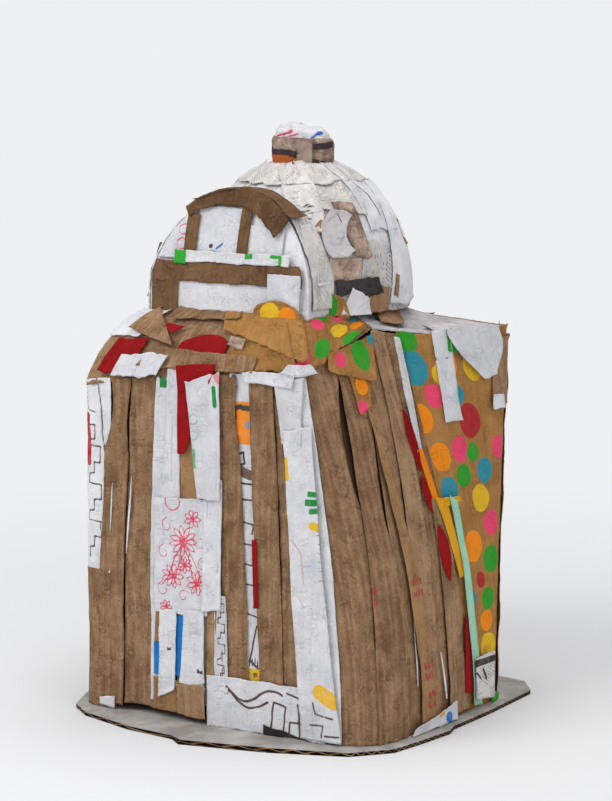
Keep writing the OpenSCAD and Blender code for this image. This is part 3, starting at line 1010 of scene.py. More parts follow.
@dataclass
class Sheet:
    """One sheet of paper: a grid over a chart, with cut edges, creases, lifted sides and prints."""

    name: str
    chart: Chart
    stock: Stock
    layer: float
    cut: Cut
    marks: Marks
    stands_for: tuple[str, ...]
    step: float
    closed: bool = False
    thick: float = 0.45
    layer_gap: float = 1.7
    rim: float = 6.0

    def __post_init__(self) -> None:
        """Takes the seed of the sheet's noise from its name."""
        self.seed = sum((k + 1) * ord(c) for k, c in enumerate(self.name)) % SEEDS

    def _ragged(self, at: Array, coarse: float, fine: float, share: float, seed: int) -> Array:
        """Unevenness of an edge: a coarse noise and a share of a fine one."""
        return noise(at / coarse, at * 0, self.seed + seed) + share * noise(at / fine, at * 0, self.seed + seed + 1)

    def _grid(self) -> tuple[Array, Array, float, float]:
        """Lays out the grid and cuts and tears its edges.

        Returns:
            Parameters across and along, and the sheet's width and length in mm.
        """
        a, b = np.meshgrid(np.linspace(0, 1, SAMPLES), np.linspace(0, 1, SAMPLES), indexing="ij")
        p, c = self.chart(a, b)[0], self.cut
        wide = float(np.linalg.norm(np.diff(p, axis=0), axis=-1).sum(0).mean())
        long = float(np.linalg.norm(np.diff(p, axis=1), axis=-1).sum(1).mean())
        nu, nv = (int(np.clip(round(size / self.step), FEWEST, MOST)) for size in (wide, long))
        ends = np.linspace(0, 1, nu + 1)[:nu if self.closed else nu + 1]
        a, b = np.meshgrid(ends, np.linspace(0, 1, nv + 1), indexing="ij")
        low, high = (c.tear[k] * self._ragged(a * wide, 11, 3.5, 0.6, 2 * k) / long for k in (0, 1))
        torn = mix(low, 1 + (high - c.arch * (2 * a - 1) ** 2), b)
        if self.closed:
            return a, torn, wide, long
        left, right = (c.wave * self._ragged(b * long, 55, 7, 0.2, k) / wide for k in (4, 6))
        for side, middle, half, deep in c.notches:
            hollow = deep / wide * np.clip(1 - ((b - middle) / half) ** 2, 0, 1)
            left, right = (left + hollow, right) if side < 0 else (left, right - hollow)
        shape = 0.5 * c.pinch * (1 - 4 * b * (1 - b)) - c.spread / wide
        return mix(left + shape, 1 + right - shape, a) + c.sway * b * b / wide, torn, wide, long

    def _height(self, spots: Spots, a: Array, b: Array, size: Pair) -> tuple[Array, Array]:
        """Height over the surface: layer, a swell shared by all sheets, creases and lifted sides.

        Args:
            spots: points of the surface and places on the sheet.
            a: parameter across.
            b: parameter along.
            size: width and length of the sheet.

        Returns:
            Heights in mm, and the creases from 0 to 1.
        """
        (p, x, y), (wide, long), c, s = spots, size, self.cut, self.seed
        swell = 1.3 * (1 + noise((p[..., 0] - p[..., 1]) / 62, p[..., 2] / 75, 5))
        if self.closed:
            fold = (creases(p[..., 0], p[..., 1] + 0.7 * p[..., 2], c.cell, s)
                    + creases(p[..., 1], p[..., 2] - 0.6 * p[..., 0], c.cell, s + 31)) / 2
            curl = 0.0
        else:
            fold = (1 - c.own) * creases(x, y, SHARED_CELL, SHARED_SEED) + c.own * creases(x, y, c.cell, s)
            sides, ends = np.minimum(a, 1 - a) * wide, np.minimum(b, 1 - b) * long
            lifted = 0.5 + 0.5 * noise(b * long / 28, np.round(a), s + 9)
            lifted_end = 0.5 + 0.5 * noise(a * wide / 16, np.round(b), s + 13)
            curl = np.clip(1 - sides / self.rim, 0, 1) ** 2 * lifted
            curl = curl + np.clip(1 - ends / self.rim, 0, 1) ** 2 * lifted_end
        return 0.5 + (self.layer - 1) * self.layer_gap + swell + c.crumple * fold + c.curl * curl, fold

    def build(self) -> bpy.types.Object:
        """Makes the mesh, its attributes, its material and its thickness.

        Returns:
            The sheet as an object that rides on the root body.
        """
        a, b, wide, long = self._grid()
        p, x, y = self.chart(a, b)
        across = np.gradient(p, axis=0) if not self.closed else np.roll(p, -1, 0) - np.roll(p, 1, 0)
        normal = np.cross(across, np.gradient(p, axis=1))
        normal /= np.maximum(np.linalg.norm(normal, axis=-1, keepdims=True), 1e-9)
        height, fold = self._height((p, x, y), np.clip(a, 0, 1), np.clip(b, 0, 1), (wide, long))
        mesh = grid_mesh(self.name, (p + normal * height[..., None]) * MM, self.closed)
        self._attributes(mesh, x, y, fold)
        made = bpy.data.objects.new(self.name, mesh)
        bpy.context.scene.collection.objects.link(made)
        mesh.materials.append(self.stock.value.material())
        solid = made.modifiers.new("thickness", "SOLIDIFY")
        solid.thickness, solid.offset = self.thick * MM, -1.0
        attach(made, "root")
        if self.stands_for:
            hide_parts(*self.stands_for)
        LOG.info("%s: %d points, %.0f by %.0f mm", self.name, a.size, wide, long)
        return made

    def _attributes(self, mesh: bpy.types.Mesh, x: Array, y: Array, fold: Array) -> None:
        """Writes the place in units of 100 mm, the tone, the creases and the distance into the nearest ink.

        Args:
            mesh: the sheet's mesh.
            x: places across in mm.
            y: places along in mm.
            fold: creases.
        """
        corner = np.zeros(len(mesh.loops), np.int32)
        mesh.loops.foreach_get("vertex_index", corner)
        shift = self.seed % SHIFTS
        place = np.stack([x.ravel() / 100 + shift, y.ravel() / 100 - shift], -1)[corner]
        if self.closed:
            last = place.reshape(-1, 4, 2)[-(x.shape[1] - 1):]
            last[:, 1:3, 0] += (x[-1, 0] - x[0, 0]) * x.shape[0] / (x.shape[0] - 1) / 100
        mesh.uv_layers.new(name="paper").data.foreach_set("uv", place.astype(np.float32).ravel())
        tone = np.full(x.size, float(lattice(np.array(self.seed), np.array(3), 1)))
        wobble = noise(x / 9, y / 9, 3) * 0.7, noise(x / 9, y / 9, 4) * 0.7
        ink, hue = np.full(x.shape, -INK_REACH), np.zeros(x.shape + (4,))
        for mark in self.marks:
            depth = mark.inside(x + wobble[0], y + wobble[1])
            hue[depth >= np.minimum(ink, 0)] = linear(mark.colour)
            ink = np.maximum(ink, depth)
        inside = np.clip(ink, -INK_REACH, INK_REACH) + INK_REACH
        for name, values in (("crease", fold), ("tone", tone), ("ink", inside)):
            mesh.attributes.new(name, "FLOAT", "POINT").data.foreach_set("value", values.astype(np.float32).ravel())
        colours = mesh.attributes.new("ink_colour", "FLOAT_COLOR", "POINT")
        colours.data.foreach_set("color", hue.astype(np.float32).ravel())


def grid_mesh(name: str, points: Array, closed: bool = False) -> bpy.types.Mesh:
    """Makes a smooth mesh of four-cornered faces from a grid of points.

    Args:
        name: name of the mesh.
        points: grid of points in metres.
        closed: whether the last row joins the first.

    Returns:
        The mesh.
    """
    index = np.arange(points[..., 0].size).reshape(points.shape[:2])
    rows = np.concatenate([index, index[:1]]) if closed else index
    quads = np.stack([rows[:-1, :-1], rows[1:, :-1], rows[1:, 1:], rows[:-1, 1:]], -1).reshape(-1, 4)
    mesh = bpy.data.meshes.new(name)
    mesh.from_pydata(points.reshape(-1, 3), [], quads.tolist())
    mesh.shade_smooth()
    return mesh


# Sub-assemblies
@dataclass
class Assembly:
    """A part of the building that is covered with sheets of paper.

    Its sheets are rows of tables: name, paper, layer, edge, step of the grid in mm, solid that the sheet stands for
    (= for its own name, - for none), and the numbers of its surface.
    """

    body: Body

    @staticmethod
    def lay(table: str, surface: Surface, prints: dict[str, Marks] | None = None) -> list[Sheet]:
        """Makes a sheet from each row of a table.

        Args:
            table: the rows.
            surface: surface of the building that they lie on.
            prints: marks by the names of the sheets that have some.

        Returns:
            The sheets in the order of the rows.
        """
        made = []
        for row in table.strip().splitlines():
            name, stock, layer, edge, step, node, *numbers = row.split()
            solids = {"=": (name,), "-": ()}.get(node, (node,))
            chart, marks = partial(surface, tuple(map(float, numbers))), (prints or {}).get(name, ())
            made.append(Sheet(name, chart, Stock[stock], float(layer), Edge[edge].value, marks, solids, float(step)))
        return made

    def sheets(self) -> list[Sheet]:
        """All the sheets of this part."""
        raise NotImplementedError


@dataclass
class FrontWall(Assembly):
    """Strips of the front wall, from left to right, and the scraps on them."""

    tuck: float = 0.009
    strips: str = """
        corner_fret_strip WHITE 1 PLAIN 1.3 = -0.052 0.091 -0.053 0.129 0.42 1.0
        corner_brown_strip KRAFT 1.3 PLAIN 2.3 = -0.052 0.072 -0.053 0.112 0.0 0.43
        brown_strip_1 KRAFT 2 GAP 2.3 = 0.046 0.137 0.129 0.228 0.018 1.0
        brown_strip_2 KRAFT 1 PLAIN 2.3 = 0.144 0.248 0.228 0.357 0.024 1.0
        green_mark_strip WHITE 2 PLAIN 1.5 = 0.242 0.32 0.349 0.422 0.05 1.0
        white_strip WHITE 1 PLAIN 2.3 = 0.333 0.49 0.452 0.632 0.05 1.0
        red_tongue RED 3.9 PLAIN 2.3 = 0.359 0.216 0.447 0.594 0.79 1.03
        tan_tab_upper TAB 1.8 FLAT 2.3 tan_tabs 0.346 0.412 0.465 0.568 0.67 0.9
        tan_tab_foot TAB 3 PLAIN 2.3 tan_tabs 0.255 0.438 0.336 0.577 0.022 0.12
        ornament_panel WHITE 3 PLAIN 0.9 = 0.261 0.448 0.344 0.585 0.32 0.66
        brown_strip_3 KRAFT 2 NICK 2.3 = 0.503 0.588 0.615 0.701 0.05 1.0
        fret_strip WHITE 1 PLAIN 1.1 = 0.575 0.64 0.68 0.774 0.05 1.0
        brown_strip_4 KRAFT 2 PLAIN 2.3 = 0.627 0.712 0.762 0.865 0.05 1.0
        brown_strip_5 KRAFT 1 PLAIN 2.3 = 0.712 0.791 0.865 0.955 0.05 1.0
        arched_white_strip WHITE 2 PLAIN 1.6 = 0.778 0.905 0.895 0.998 0.0 1.01
        front_foot_paper WHITE 3.3 PLAIN 1.3 = 0.451 0.856 0.594 0.981 0.0 0.15
    """
    # The dark scrap at the foot, from 199 to 247 mm along the wall, is painted shadow in the gap under the foot paper.
    scraps: str = """
        low_blue_1 BLUE 3.0 THIN 1.8 - 78 45 86 45 86 78 78 76
        low_blue_2 BLUE 2.9 THIN 1.8 - 99 45 116 48 116 106 101 104
        low_tan TAB 2.95 THIN 1.8 - 79 77 85 77 86 111 81 111
        low_white_1 WHITE 3.5 PLAIN 1.8 - 84 24 102 33 104 111 85 108
        low_white_2 WHITE 3.7 PLAIN 1.8 - 109 42 134 34 134 113 113 111
        foot_brown KRAFT 4.9 PLAIN 1.8 - 107 11 136 10 135 43 105 40
        low_brown KRAFT 3.2 THIN 1.8 - 135 45 144 48 146 117 136 117
        low_fret WHITE 2.7 PLAIN 1.2 - 145 38 158 38 156 129 145 128
        panel_side WHITE 3.5 PLAIN 1.8 - 133 112 152 116 153 238 135 236
        eaves_band WHITE 4.0 EAVES 1.8 - 178 330 223 327 224 341 174 339
        arched_upper WHITE 3.4 PLAIN 1.6 - 215 276 233 276 230 335 204 335
        arched_lower WHITE 3.9 PLAIN 1.4 - 239 7 277 7 241 293 215 288
        corner_window WHITE 3.4 THIN 1.8 - 17 8 33 5 33 17 17 14
        white_sliver_1 WHITE 2.8 SLIVER 1.8 - 28.6 176 30.4 176 33 228 31.2 228
        white_sliver_2 WHITE 2.8 SLIVER 1.8 - 46.8 158 48.6 158 54 232 52.2 232
        foot_shadow DARK 4.4 THIN 1.8 - 199 4.8 247 4.8 242 5.6 199 14
        red_edge RED 3.3 THIN 1.8 - 187 122 191 122 189 186 185 186
        white_filler WHITE 2.3 PLAIN 1.8 - 88 210 106 210 107 336 94 336
        tan_filler TAB 2.7 THIN 1.8 - 109 213 128 213 123 292 105 296
        white_front WHITE 4.7 FRONT 1.4 - 128 219 151 218 147 337 113 326
    """

    def sheets(self) -> list[Sheet]:
        """All the strips and scraps of the wall.

        Returns:
            The sheets, the strips first.
        """
        prints = self._small_prints() | {
            "ornament_panel": self._garland(), "fret_strip": self._ladder(), "arched_lower": self._bars(),
            "front_foot_paper": self._brush()}
        return (self.lay(self.strips, partial(self.body.strip, 0, self.tuck), prints)
                + self.lay(self.scraps, partial(self.body.scrap, 0), prints))

    @staticmethod
    def _small_prints() -> dict[str, Marks]:
        """Meander lines, pale rings, bars and rows of dashes.

        Returns:
            Marks by the names of the sheets.
        """
        corner = (fret(BROWN, (5, 18), (258, 150), 3, 1.6), *lines(BROWN, 1.7, (13, 330, 19, 296, 21, 262, 26, 236)),
                  *lines(BROWN, 1.6, (-2, 312, 4, 292, 12, 290), (5, 278, 12, 278, 11, 264, 4, 264, 5, 278)),
                  *lines(RED, 7, (2, 286, 4, 242)))
        green = (Block(LEAF, 84, 318, 91, 332), *dashes("#8fc0a4", (84, 96), 232, 3, 12),
                 *dashes("#a3cbb4", (84, 96), 206, 4, 14),
                 *lines("#9cc4ad", 1.2, (84, 270, 94, 268), (84, 262, 93, 260)))
        white = (Ring("#8fb5a2", 122, 292, 4.5), Ring("#9db8ab", 123, 277, 4),
                 *lines("#6fae8c", 2.5, (123, 264, 125, 248)), *lines(LEAF, 4.5, (143, 322, 145, 306)),
                 *lines("#d98b8b", 6, (141, 339, 148, 329)))
        return {"corner_fret_strip": corner, "green_mark_strip": green, "white_front": white,
                "low_white_1": dashes("#4a4650", (92, 99), 70, 4, 4, 0.9),
                "low_white_2": dashes("#4a4650", (126, 133), 52, 4, 4, 0.9),
                "low_fret": (fret(BROWN, (148, 155), (122, 44), 4, 1.3),),
                "panel_side": lines(BROWN, 1.2, (147, 170, 148, 150)), "arched_upper": dots(("#8d93a8", 216, 330, 1.5))}

    @staticmethod
    def _garland() -> Marks:
        """A plain drawn garland of rosettes, leaves and rings in red line.

        Returns:
            The marks.
        """
        blooms = [(111, 176, 15, 11), (100, 142, 12, 9), (126, 138, 12, 9), (121, 198, 9, 7), (113, 154, 8, 8),
                  (92, 112, 7, 7)]
        coils = [(94, 190, 8), (130, 178, 9), (91, 164, 8), (133, 156, 8), (90, 128, 8), (112, 124, 7), (104, 158, 6)]
        curls = []
        for x, y, r in coils:
            coil = [(r * (1 - 0.11 * k), 0.8 * k + r) for k in range(8)]
            curls.append(Path(ROSE, tuple((x + d * math.cos(t), y + d * math.sin(t)) for d, t in coil), 0.9))
        stems = lines(ROSE, 1.0, *((111, 176, 112 + 5 * k, 160, 113 + 9 * k, 146 - 3 * abs(k), 112 + 12 * k, 132)
                                   for k in (-2, -1, 1, 2)))
        hearts = dots(*(("#e9c3ca", x, y, 0.5 * r) for x, y, r, _ in blooms))
        petals = (mark for x, y, r, count in blooms for mark in spray(ROSE, x, y, r, count, 1.0))
        return (Ring(ROSE, 99, 213, 8, 1.3), *hearts, *petals, *curls, *stems)

    @staticmethod
    def _ladder() -> Marks:
        """Orange block with dark bands, a small frame, a brown patch and a ladder of dark lines.

        Returns:
            The marks.
        """
        rungs = ((168 + k, 236 - 15 * k, 188 + k, 236 - 15 * k) for k in range(2))
        hooks = ((172 + k, 200 - 19 * k, 184 + k, 199 - 19 * k, 183 + k, 190 - 19 * k) for k in range(4))
        return (Block(ORANGE, 158, 272, 186, 311), Block(INK, 156, 303, 186, 308),
                *lines("#8a2a16", 7, (160, 302, 163, 272)), Dot("#8b93a6", 177, 290, 4),
                *lines(INK, 2, (164, 262, 173, 265, 174, 254, 166, 252, 164, 262)),
                *lines("#6e5443", 9, (168, 248, 180, 244)), *lines(INK, 1.9, *rungs), *lines(BROWN, 1.7, *hooks),
                *lines(BROWN, 1.8, (174, 116, 190, 112), (188, 104, 180, 70, 190, 64)), Block(YELLOW, 176, 52, 194, 64),
                Dot("#7a5a22", 186, 58, 2.4), *dashes(INK, (178, 190), 66, 4, 7))

    @staticmethod
    def _bars() -> Marks:
        """Green bars, a yellow bar, a column of thin green dashes, faint washes and a yellow spot.

        Returns:
            The marks.
        """
        column = ((252 + 0.4 * k, 196 - 8 * k, 259 + 0.4 * k, 195 - 8 * k) for k in range(6))
        return (Block(LEAF, 238, 222, 256, 228), Block(LEAF, 240, 230, 254, 235), Block(LEAF, 242, 215, 258, 220),
                *lines(YELLOW, 8, (246, 204, 257, 202)), *lines("#4d9a68", 1.3, *column),
                *lines("#c6a7a2", 1.6, (226, 190, 236, 176, 240, 150)), *lines("#cbb0ad", 1.6, (232, 140, 240, 130)),
                *lines(YELLOW, 6, (217, 262, 219, 246)), *lines("#e9b52f", 14, (256, 52, 270, 44)),
                *lines(BROWN, 1.8, (249, 42, 252, 31, 269, 29), (246, 20, 260, 21, 258, 9), (262, 12, 275, 13)))

    @staticmethod
    def _brush() -> Marks:
        """Brush lines and a meander in brown.

        Returns:
            The marks.
        """
        sweep = tuple((158 + 4.5 * k, 44 - 9 * math.sin(0.42 * k) - 0.6 * k) for k in range(14))
        hook = tuple((158 + 4 * k, 42 - 15 * math.sin(0.24 * k)) for k in range(12))
        return (Path(BROWN, sweep, 2.4), Path(BROWN, hook, 2.2),
                *lines(BROWN, 2.0, (205, 10, 208, 36, 221, 33, 218, 9), (234, 37, 236, 7),
                       (224, 8, 226, 19, 249, 21, 251, 34), (222, 46, 238, 42)))


@dataclass
class RightWall(Assembly):
    """Strips of the flank, the recess and the dotted wing, from the near corner to the back, and the scraps on them."""

    tuck: float = 0.009
    strips: str = """
        side_brown_1 KRAFT 1 SLIT_1 2.3 = 0.902 1.131 0.996 1.388 0.0 1.0
        side_brown_2 KRAFT 2 SLIT_2 1.4 = 1.103 1.439 1.378 1.715 0.0 0.985
        side_brown_3 KRAFT 1 SLIT_3 2.3 = 1.42 1.7 1.725 2.002 0.0 0.98
        side_brown_4 KRAFT 2 PLAIN 2.3 = 1.663 1.933 1.971 2.232 0.0 0.99
        side_brown_5 KRAFT 1 SLIT_5 2.3 = 1.905 2.601 2.166 2.477 0.0 0.99
        wing_white_strip_2 WHITE 2 PLAIN 2.3 wing_white_strips 2.893 3.147 3.029 3.217 0.78 1.01
        polka_sheet DOTTED 1 PLAIN 1.8 = 2.61 4.1 2.485 4.12 0.0 1.0
        wing_brown_strip KRAFT 2 PLAIN 2.3 = 3.703 4.054 3.761 4.089 0.8 0.978
    """
    scraps: str = """
        wing_white_strip_1 WHITE 2.4 TAPER 1.8 wing_white_strips 117 256 124 258 131 366 124 367
        red_sliver RED 3.3 LENS 1.8 colour_slivers 107 239 119 240 117 299 104 296
        yellow_sliver YELLOW 3.4 SHARD 1.8 colour_slivers 146 136 153 138 143 214 126 216
        hanging_flap DOTTED 2.9 HANGING 1.8 = 46 296 62 303 76 333 46 340
        mint_strip MINT 3.8 SWAY 1.8 = 158 8 171 7 167 200 160 206
        white_slit_1 WHITE 2.9 SPLIT 1.8 - 72.4 204 73.6 204 70 238 69 238
        white_slit_2 WHITE 2.9 SPLIT 1.8 - 64 46 66 49 67.6 108 66.4 108
        white_slit_3 WHITE 2.9 SPLIT 1.8 - 110 26 112 26 105.6 72 104.4 72
        side_foot_white WHITE 4.8 PLAIN 1.8 - 50 5 122 5 122 22 56 11
        lower_fill KRAFT 2.4 PLAIN 1.8 - 116 8 150 8 137 214 121 214
        orange_sliver ORANGE 3.3 THIN 1.8 - 124 212 131 214 124 262 117 260
        print_block NEWS 5.4 THIN 1.8 - 160 14 189 10 190 57 160 55
        wing_flap WHITE 4.0 WING 1.8 - 212 322 234 326 252 372 166 374
        wing_tag WHITE 4.0 THIN 1.8 - 221 292 238 292 238 305 224 306
        dotted_hang DOTTED 3.9 LIFTED 1.8 - 20 338 75 324 93 366 26 352
        tan_runner TAB 3.3 RUNNER 1.4 - 71 5 97 5 63 292 57 300
        red_second RED 3.4 LENS 1.8 - 112 201 124 202 121 233 106 240
        red_third RED 3.3 LENS 1.8 - 125 135 137 137 134 190 116 187
        red_low RED 3.2 THIN 1.8 - 145 24 156 22 158 98 151 97
        yellow_fold YELLOW 3.6 THIN 1.8 - 138 206 160 210 158 216 139 215
        foot_green GREEN 4.2 THIN 1.8 - 188 5 200 5 200 13 189 12
        green_scrap GREEN 2.8 THIN 1.8 - 176 352 208 348 200 372 178 374
    """

    def sheets(self) -> list[Sheet]:
        """All the strips and scraps of the wall.

        Returns:
            The sheets, the strips first.
        """
        prints = self._prints()
        return (self.lay(self.strips, partial(self.body.strip, 1, self.tuck), prints)
                + self.lay(self.scraps, partial(self.body.scrap, 1), prints))

    @staticmethod
    def _stamp(x: float, y: float) -> Marks:
        """Two rows of red dashes."""
        return dashes("#a8453f", (x - 8, x + 8), y + 4, 6, 6, 1.7) + dashes("#a8453f", (x - 8, x + 7), y - 6, 5, 6, 1.7)

    def _prints(self) -> dict[str, Marks]:
        """Coloured dots, stamps, dark bars and rows of dashes.

        Returns:
            Marks by the names of the sheets.
        """
        wing = dots(
            (TEAL, 136, 338, 15), (ORANGE, 172, 340, 13), (GREEN, 136, 364, 10), (RED, 190, 284, 15),
            (ORANGE, 146, 254, 12), (PINK, 171, 259, 11), (PINK, 226, 254, 10), (TEAL, 150, 222, 11),
            (TEAL, 202, 234, 11), (GREEN, 171, 233, 10), (YELLOW, 192, 208, 12), (ORANGE, 174, 163, 14),
            (GREEN, 200, 146, 12), (YELLOW, 190, 60, 12), (YELLOW, 163, 332, 9), (PINK, 152, 312, 10),
            (YELLOW, 206, 336, 13), (TEAL, 178, 310, 9), (PINK, 204, 182, 11), (ORANGE, 134, 290, 12),
            (GREEN, 192, 108, 10), (ORANGE, 188, 86, 9), (RED, 182, 128, 7), (TEAL, 166, 112, 8),
            (GREEN, 188, 254, 8), tall=1.15)
        return {"polka_sheet": wing, "side_brown_2": self._stamp(14, 138),
                "wing_white_strip_2": (*dashes(INK, (152, 180), 345, 9, 3, 0.9),
                                       *dashes(INK, (152, 178), 337, 7, 2.4, 0.9)),
                "hanging_flap": dots((ORANGE, 59, 322, 8), (PINK, 52, 303, 7)),
                "side_foot_white": dots((BLUE, 108, 10, 5.5)) + lines(ORANGE, 4, (94, 15, 99, 16)),
                "print_block": (Block(INK, 150, 46, 196, 53), *lines(INK, 3, (160, 40, 166, 34), (172, 42, 176, 32)),
                                *lines("#d9d5cf", 9, (168, 26, 180, 12))),
                "dotted_hang": (Dot(GREEN, 68, 349, 11, 1.3), *dots((PINK, 40, 346, 7), (TEAL, 88, 362, 6))),
                "tan_runner": self._stamp(76, 136) + self._stamp(81, 58) + self._stamp(85, 30)}


@dataclass
class HiddenWalls(Assembly):
    """Plain strips of the left and the back wall, which the photo doesn't show, and patches on them."""

    counts: tuple[tuple[int, int], ...] = ((6, 8), (5, 9))
    papers: tuple[Stock, ...] = (Stock.KRAFT, Stock.KRAFT, Stock.TAB, Stock.KRAFT, Stock.WHITE)
    flank: str = """
        flank_rear_1 KRAFT 2.0 TORN 2.0 - 3 6 34 6 36 367 8 359
        flank_rear_2 TAB 2.8 TORN 2.0 - 28 6 62 6 54 364 24 365
        flank_rear_3 KRAFT 2.2 TORN 2.0 - 57 6 106 6 102 361 49 364
        flank_rear_white WHITE 4.0 TORN 2.0 - 34 92 74 86 78 168 40 176
        flank_rear_dotted DOTTED 4.0 TORN 2.0 - 20 232 86 222 90 262 24 276
    """
    rear: str = """
        rear_corner_high TAB 3.2 TORN 2.0 - 256 150 300 156 300 338 262 338
        rear_corner_low KRAFT 3.8 TORN 2.0 - 258 6 304 6 302 172 260 168
        rear_white_patch WHITE 3.6 TORN 2.0 - 30 176 92 182 90 266 34 262
        rear_red_patch RED 3.8 TORN 2.0 - 118 250 164 244 156 306 128 300
        rear_band LIGHT 4.2 TORN 2.0 - 140 116 272 104 276 146 142 160
        rear_dotted DOTTED 3.6 TORN 2.0 - 178 194 250 186 254 300 184 304
        rear_news NEWS 3.8 TORN 2.0 - 40 6 182 6 174 56 46 44
    """
    far: str = """
        left_white_patch WHITE 3.6 TORN 2.0 - 40 150 100 146 106 270 46 276
        left_red_patch RED 3.7 TORN 2.0 - 150 60 184 56 186 130 158 136
        left_band LIGHT 4.2 TORN 2.0 - 94 196 234 184 238 222 98 236
        left_news NEWS 3.8 TORN 2.0 - 118 6 242 6 236 54 124 46
        left_mint MINT 3.5 TORN 2.0 - 204 60 214 60 218 182 208 182
    """

    def sheets(self) -> list[Sheet]:
        """Brown strips with a white one among them now and then, in two layers, and the patches.

        Returns:
            The sheets.
        """
        made = []
        for side, count in self.counts:
            pitch = 0.86 / count
            for i in range(count):
                start = side + 0.055 + i * pitch
                end = start + 1.2 * pitch
                cut = Cut(notches=((-1 if i % 3 else 1, 0.25 + 0.17 * (i % 4), 0.12, 5.0),))
                chart = partial(self.body.strip, 0, 0.0, (start, end, start, end, 0.02, 1.0))
                stock = self.papers[(3 * i + side) % len(self.papers)]
                made.append(Sheet(f"rear_strip_{side}_{i}", chart, stock, 1 + i % 2, cut, (), ("rear_strips",), 3.0))
        for first, table in ((4, self.flank), (5, self.rear), (6, self.far)):
            made += self.lay(table, partial(self.body.scrap, first), self._prints())
        return made

    @staticmethod
    def _prints() -> dict[str, Marks]:
        """Meander lines, coloured dots and rings.

        Returns:
            Marks by the names of the patches.
        """
        return {"flank_rear_white": lines(BROWN, 1.8, (44, 160, 64, 156, 66, 134, 48, 132, 50, 106, 70, 102)),
                "flank_rear_dotted": dots((TEAL, 36, 250, 10), (PINK, 60, 248, 10), (YELLOW, 80, 240, 9)),
                "rear_white_patch": (fret(BROWN, (42, 80), (252, 190), 3, 1.9),),
                "rear_dotted": dots((PINK, 196, 284, 11), (GREEN, 232, 270, 12), (YELLOW, 204, 246, 12),
                                    (TEAL, 236, 228, 10), (ORANGE, 200, 208, 11)),
                "left_white_patch": (Ring(ROSE, 66, 240, 9), Ring(ROSE, 80, 214, 7), Ring(ROSE, 64, 190, 8))}


@dataclass
class Roof(Assembly):
    """Brown sheets of the roof, and the patches and scraps on them."""

    patches: str = """
        roof_front KRAFT 0.6 SOFT 3.0 = 0.0 0.995 0.0 0.995 -0.02 1.03
        roof_flank KRAFT 0.6 SOFT 3.0 = 1.0 1.995 1.0 1.995 -0.02 1.03
        wing_roof GREY 0.6 SOFT 3.0 = 2.0 3.995 2.0 3.995 -0.02 1.03
        roof_back KRAFT 0.6 SOFT 3.0 = 4.0 5.995 4.0 5.995 -0.02 1.03
        roof_left KRAFT 0.6 SOFT 3.0 = 6.0 6.995 6.0 6.995 -0.02 1.03
        white_roof_ribbon WHITE 2.2 FLAP 1.8 = -0.008 0.172 -0.015 0.189 0.38 0.8
        red_roof_patch RED 2.2 FLAP 1.8 = 0.06 0.207 0.077 0.224 0.06 0.36
        red_arc_patch RED 2.2 ARCHED 1.8 = 0.379 0.628 0.413 0.645 0.14 0.44
        white_eave_flap WHITE 5.0 FLAP 1.8 = 0.142 0.357 0.151 0.383 0.015 0.2
        tan_roof_patch LIGHT 3.2 FLAP 1.8 = 0.68 0.972 0.645 0.921 0.04 0.66
        polka_roof_sheet DOTTED 2.2 FLAP 1.8 = 0.8 1.956 0.8 1.915 0.03 0.93
        wing_roof_flap GREY 2.2 FLAP 1.8 = 3.044 3.738 3.175 3.457 0.0 0.42
    """
    scraps: str = """
        rear_roof_white WHITE 3.2 FLAP 1.8 - 636 0.1 724 0.06 708 0.5 652 0.56
        rear_roof_red RED 3.2 ARCHED 1.8 - 768 0.2 822 0.16 812 0.5 778 0.54
        rear_roof_tan LIGHT 3.2 FLAP 1.8 - 862 0.3 964 0.24 946 0.8 884 0.86
        rear_roof_news NEWS 3.2 FLAP 1.8 - 996 0.12 1084 0.08 1068 0.46 1012 0.54
        rear_roof_fold KRAFT 3.8 FLAP 1.8 - 690 0.48 806 0.42 790 0.86 712 0.92
        rear_roof_strip DEEP 3.0 FLAP 1.8 - 590 0.3 640 0.1 660 0.3 610 0.5
        roof_tan_sheet LIGHT 3.8 FLAP 1.8 - 139 0.5 234 0.1 231 0.88 117 1.0
        roof_star_flap KRAFT 3.6 STAR 1.8 - 22 0.46 88 0.28 62 0.54 26 0.82
        roof_brown_fold KRAFT 3.3 FOLD 1.8 - 58 0.1 182 0.02 186 0.17 66 0.27
        roof_brown_band KRAFT 3.0 BAND 1.8 - 60 0.62 150 0.66 140 0.95 50 0.92
        roof_red_corner RED 3.6 LOW 1.8 - 62 0.5 76 0.42 88 0.52 66 0.55
        ridge_brown KRAFT 3.6 RIDGE 1.8 - 346 0.3 366 0.26 406 0.92 362 0.95
        roof_pale_tag MOTTLED 4.4 TAG 1.8 - 150 0.3 166 0.25 168 0.36 152 0.4
        roof_white_tag WHITE 4.6 RAISED 1.8 - 212 0.0 240 -0.01 236 0.07 220 0.09
    """

    def sheets(self) -> list[Sheet]:
        """Sheets under, patches and scraps over.

        Returns:
            The sheets.
        """
        flecks = dots(*(("#6b5138", 140 + 9.7 * k, 30 + 37 * abs(math.sin(2.1 * k)), 0.8) for k in range(9)))
        spots = dots(
            (YELLOW, 192, 78, 11), (ORANGE, 214, 79, 9), (GREEN, 262, 76, 11), (PINK, 252, 58, 12),
            (YELLOW, 286, 38, 15), (GREEN, 254, 18, 12), (GREEN, 298, 8, 13), (PINK, 226, 10, 12),
            (ORANGE, 316, 34, 12), (TEAL, 318, 58, 10), (PINK, 290, 68, 8))
        return (self.lay(self.patches, self.body.roof, {"polka_roof_sheet": spots})
                + self.lay(self.scraps, self.body.roof_scrap, {"roof_tan_sheet": flecks}))


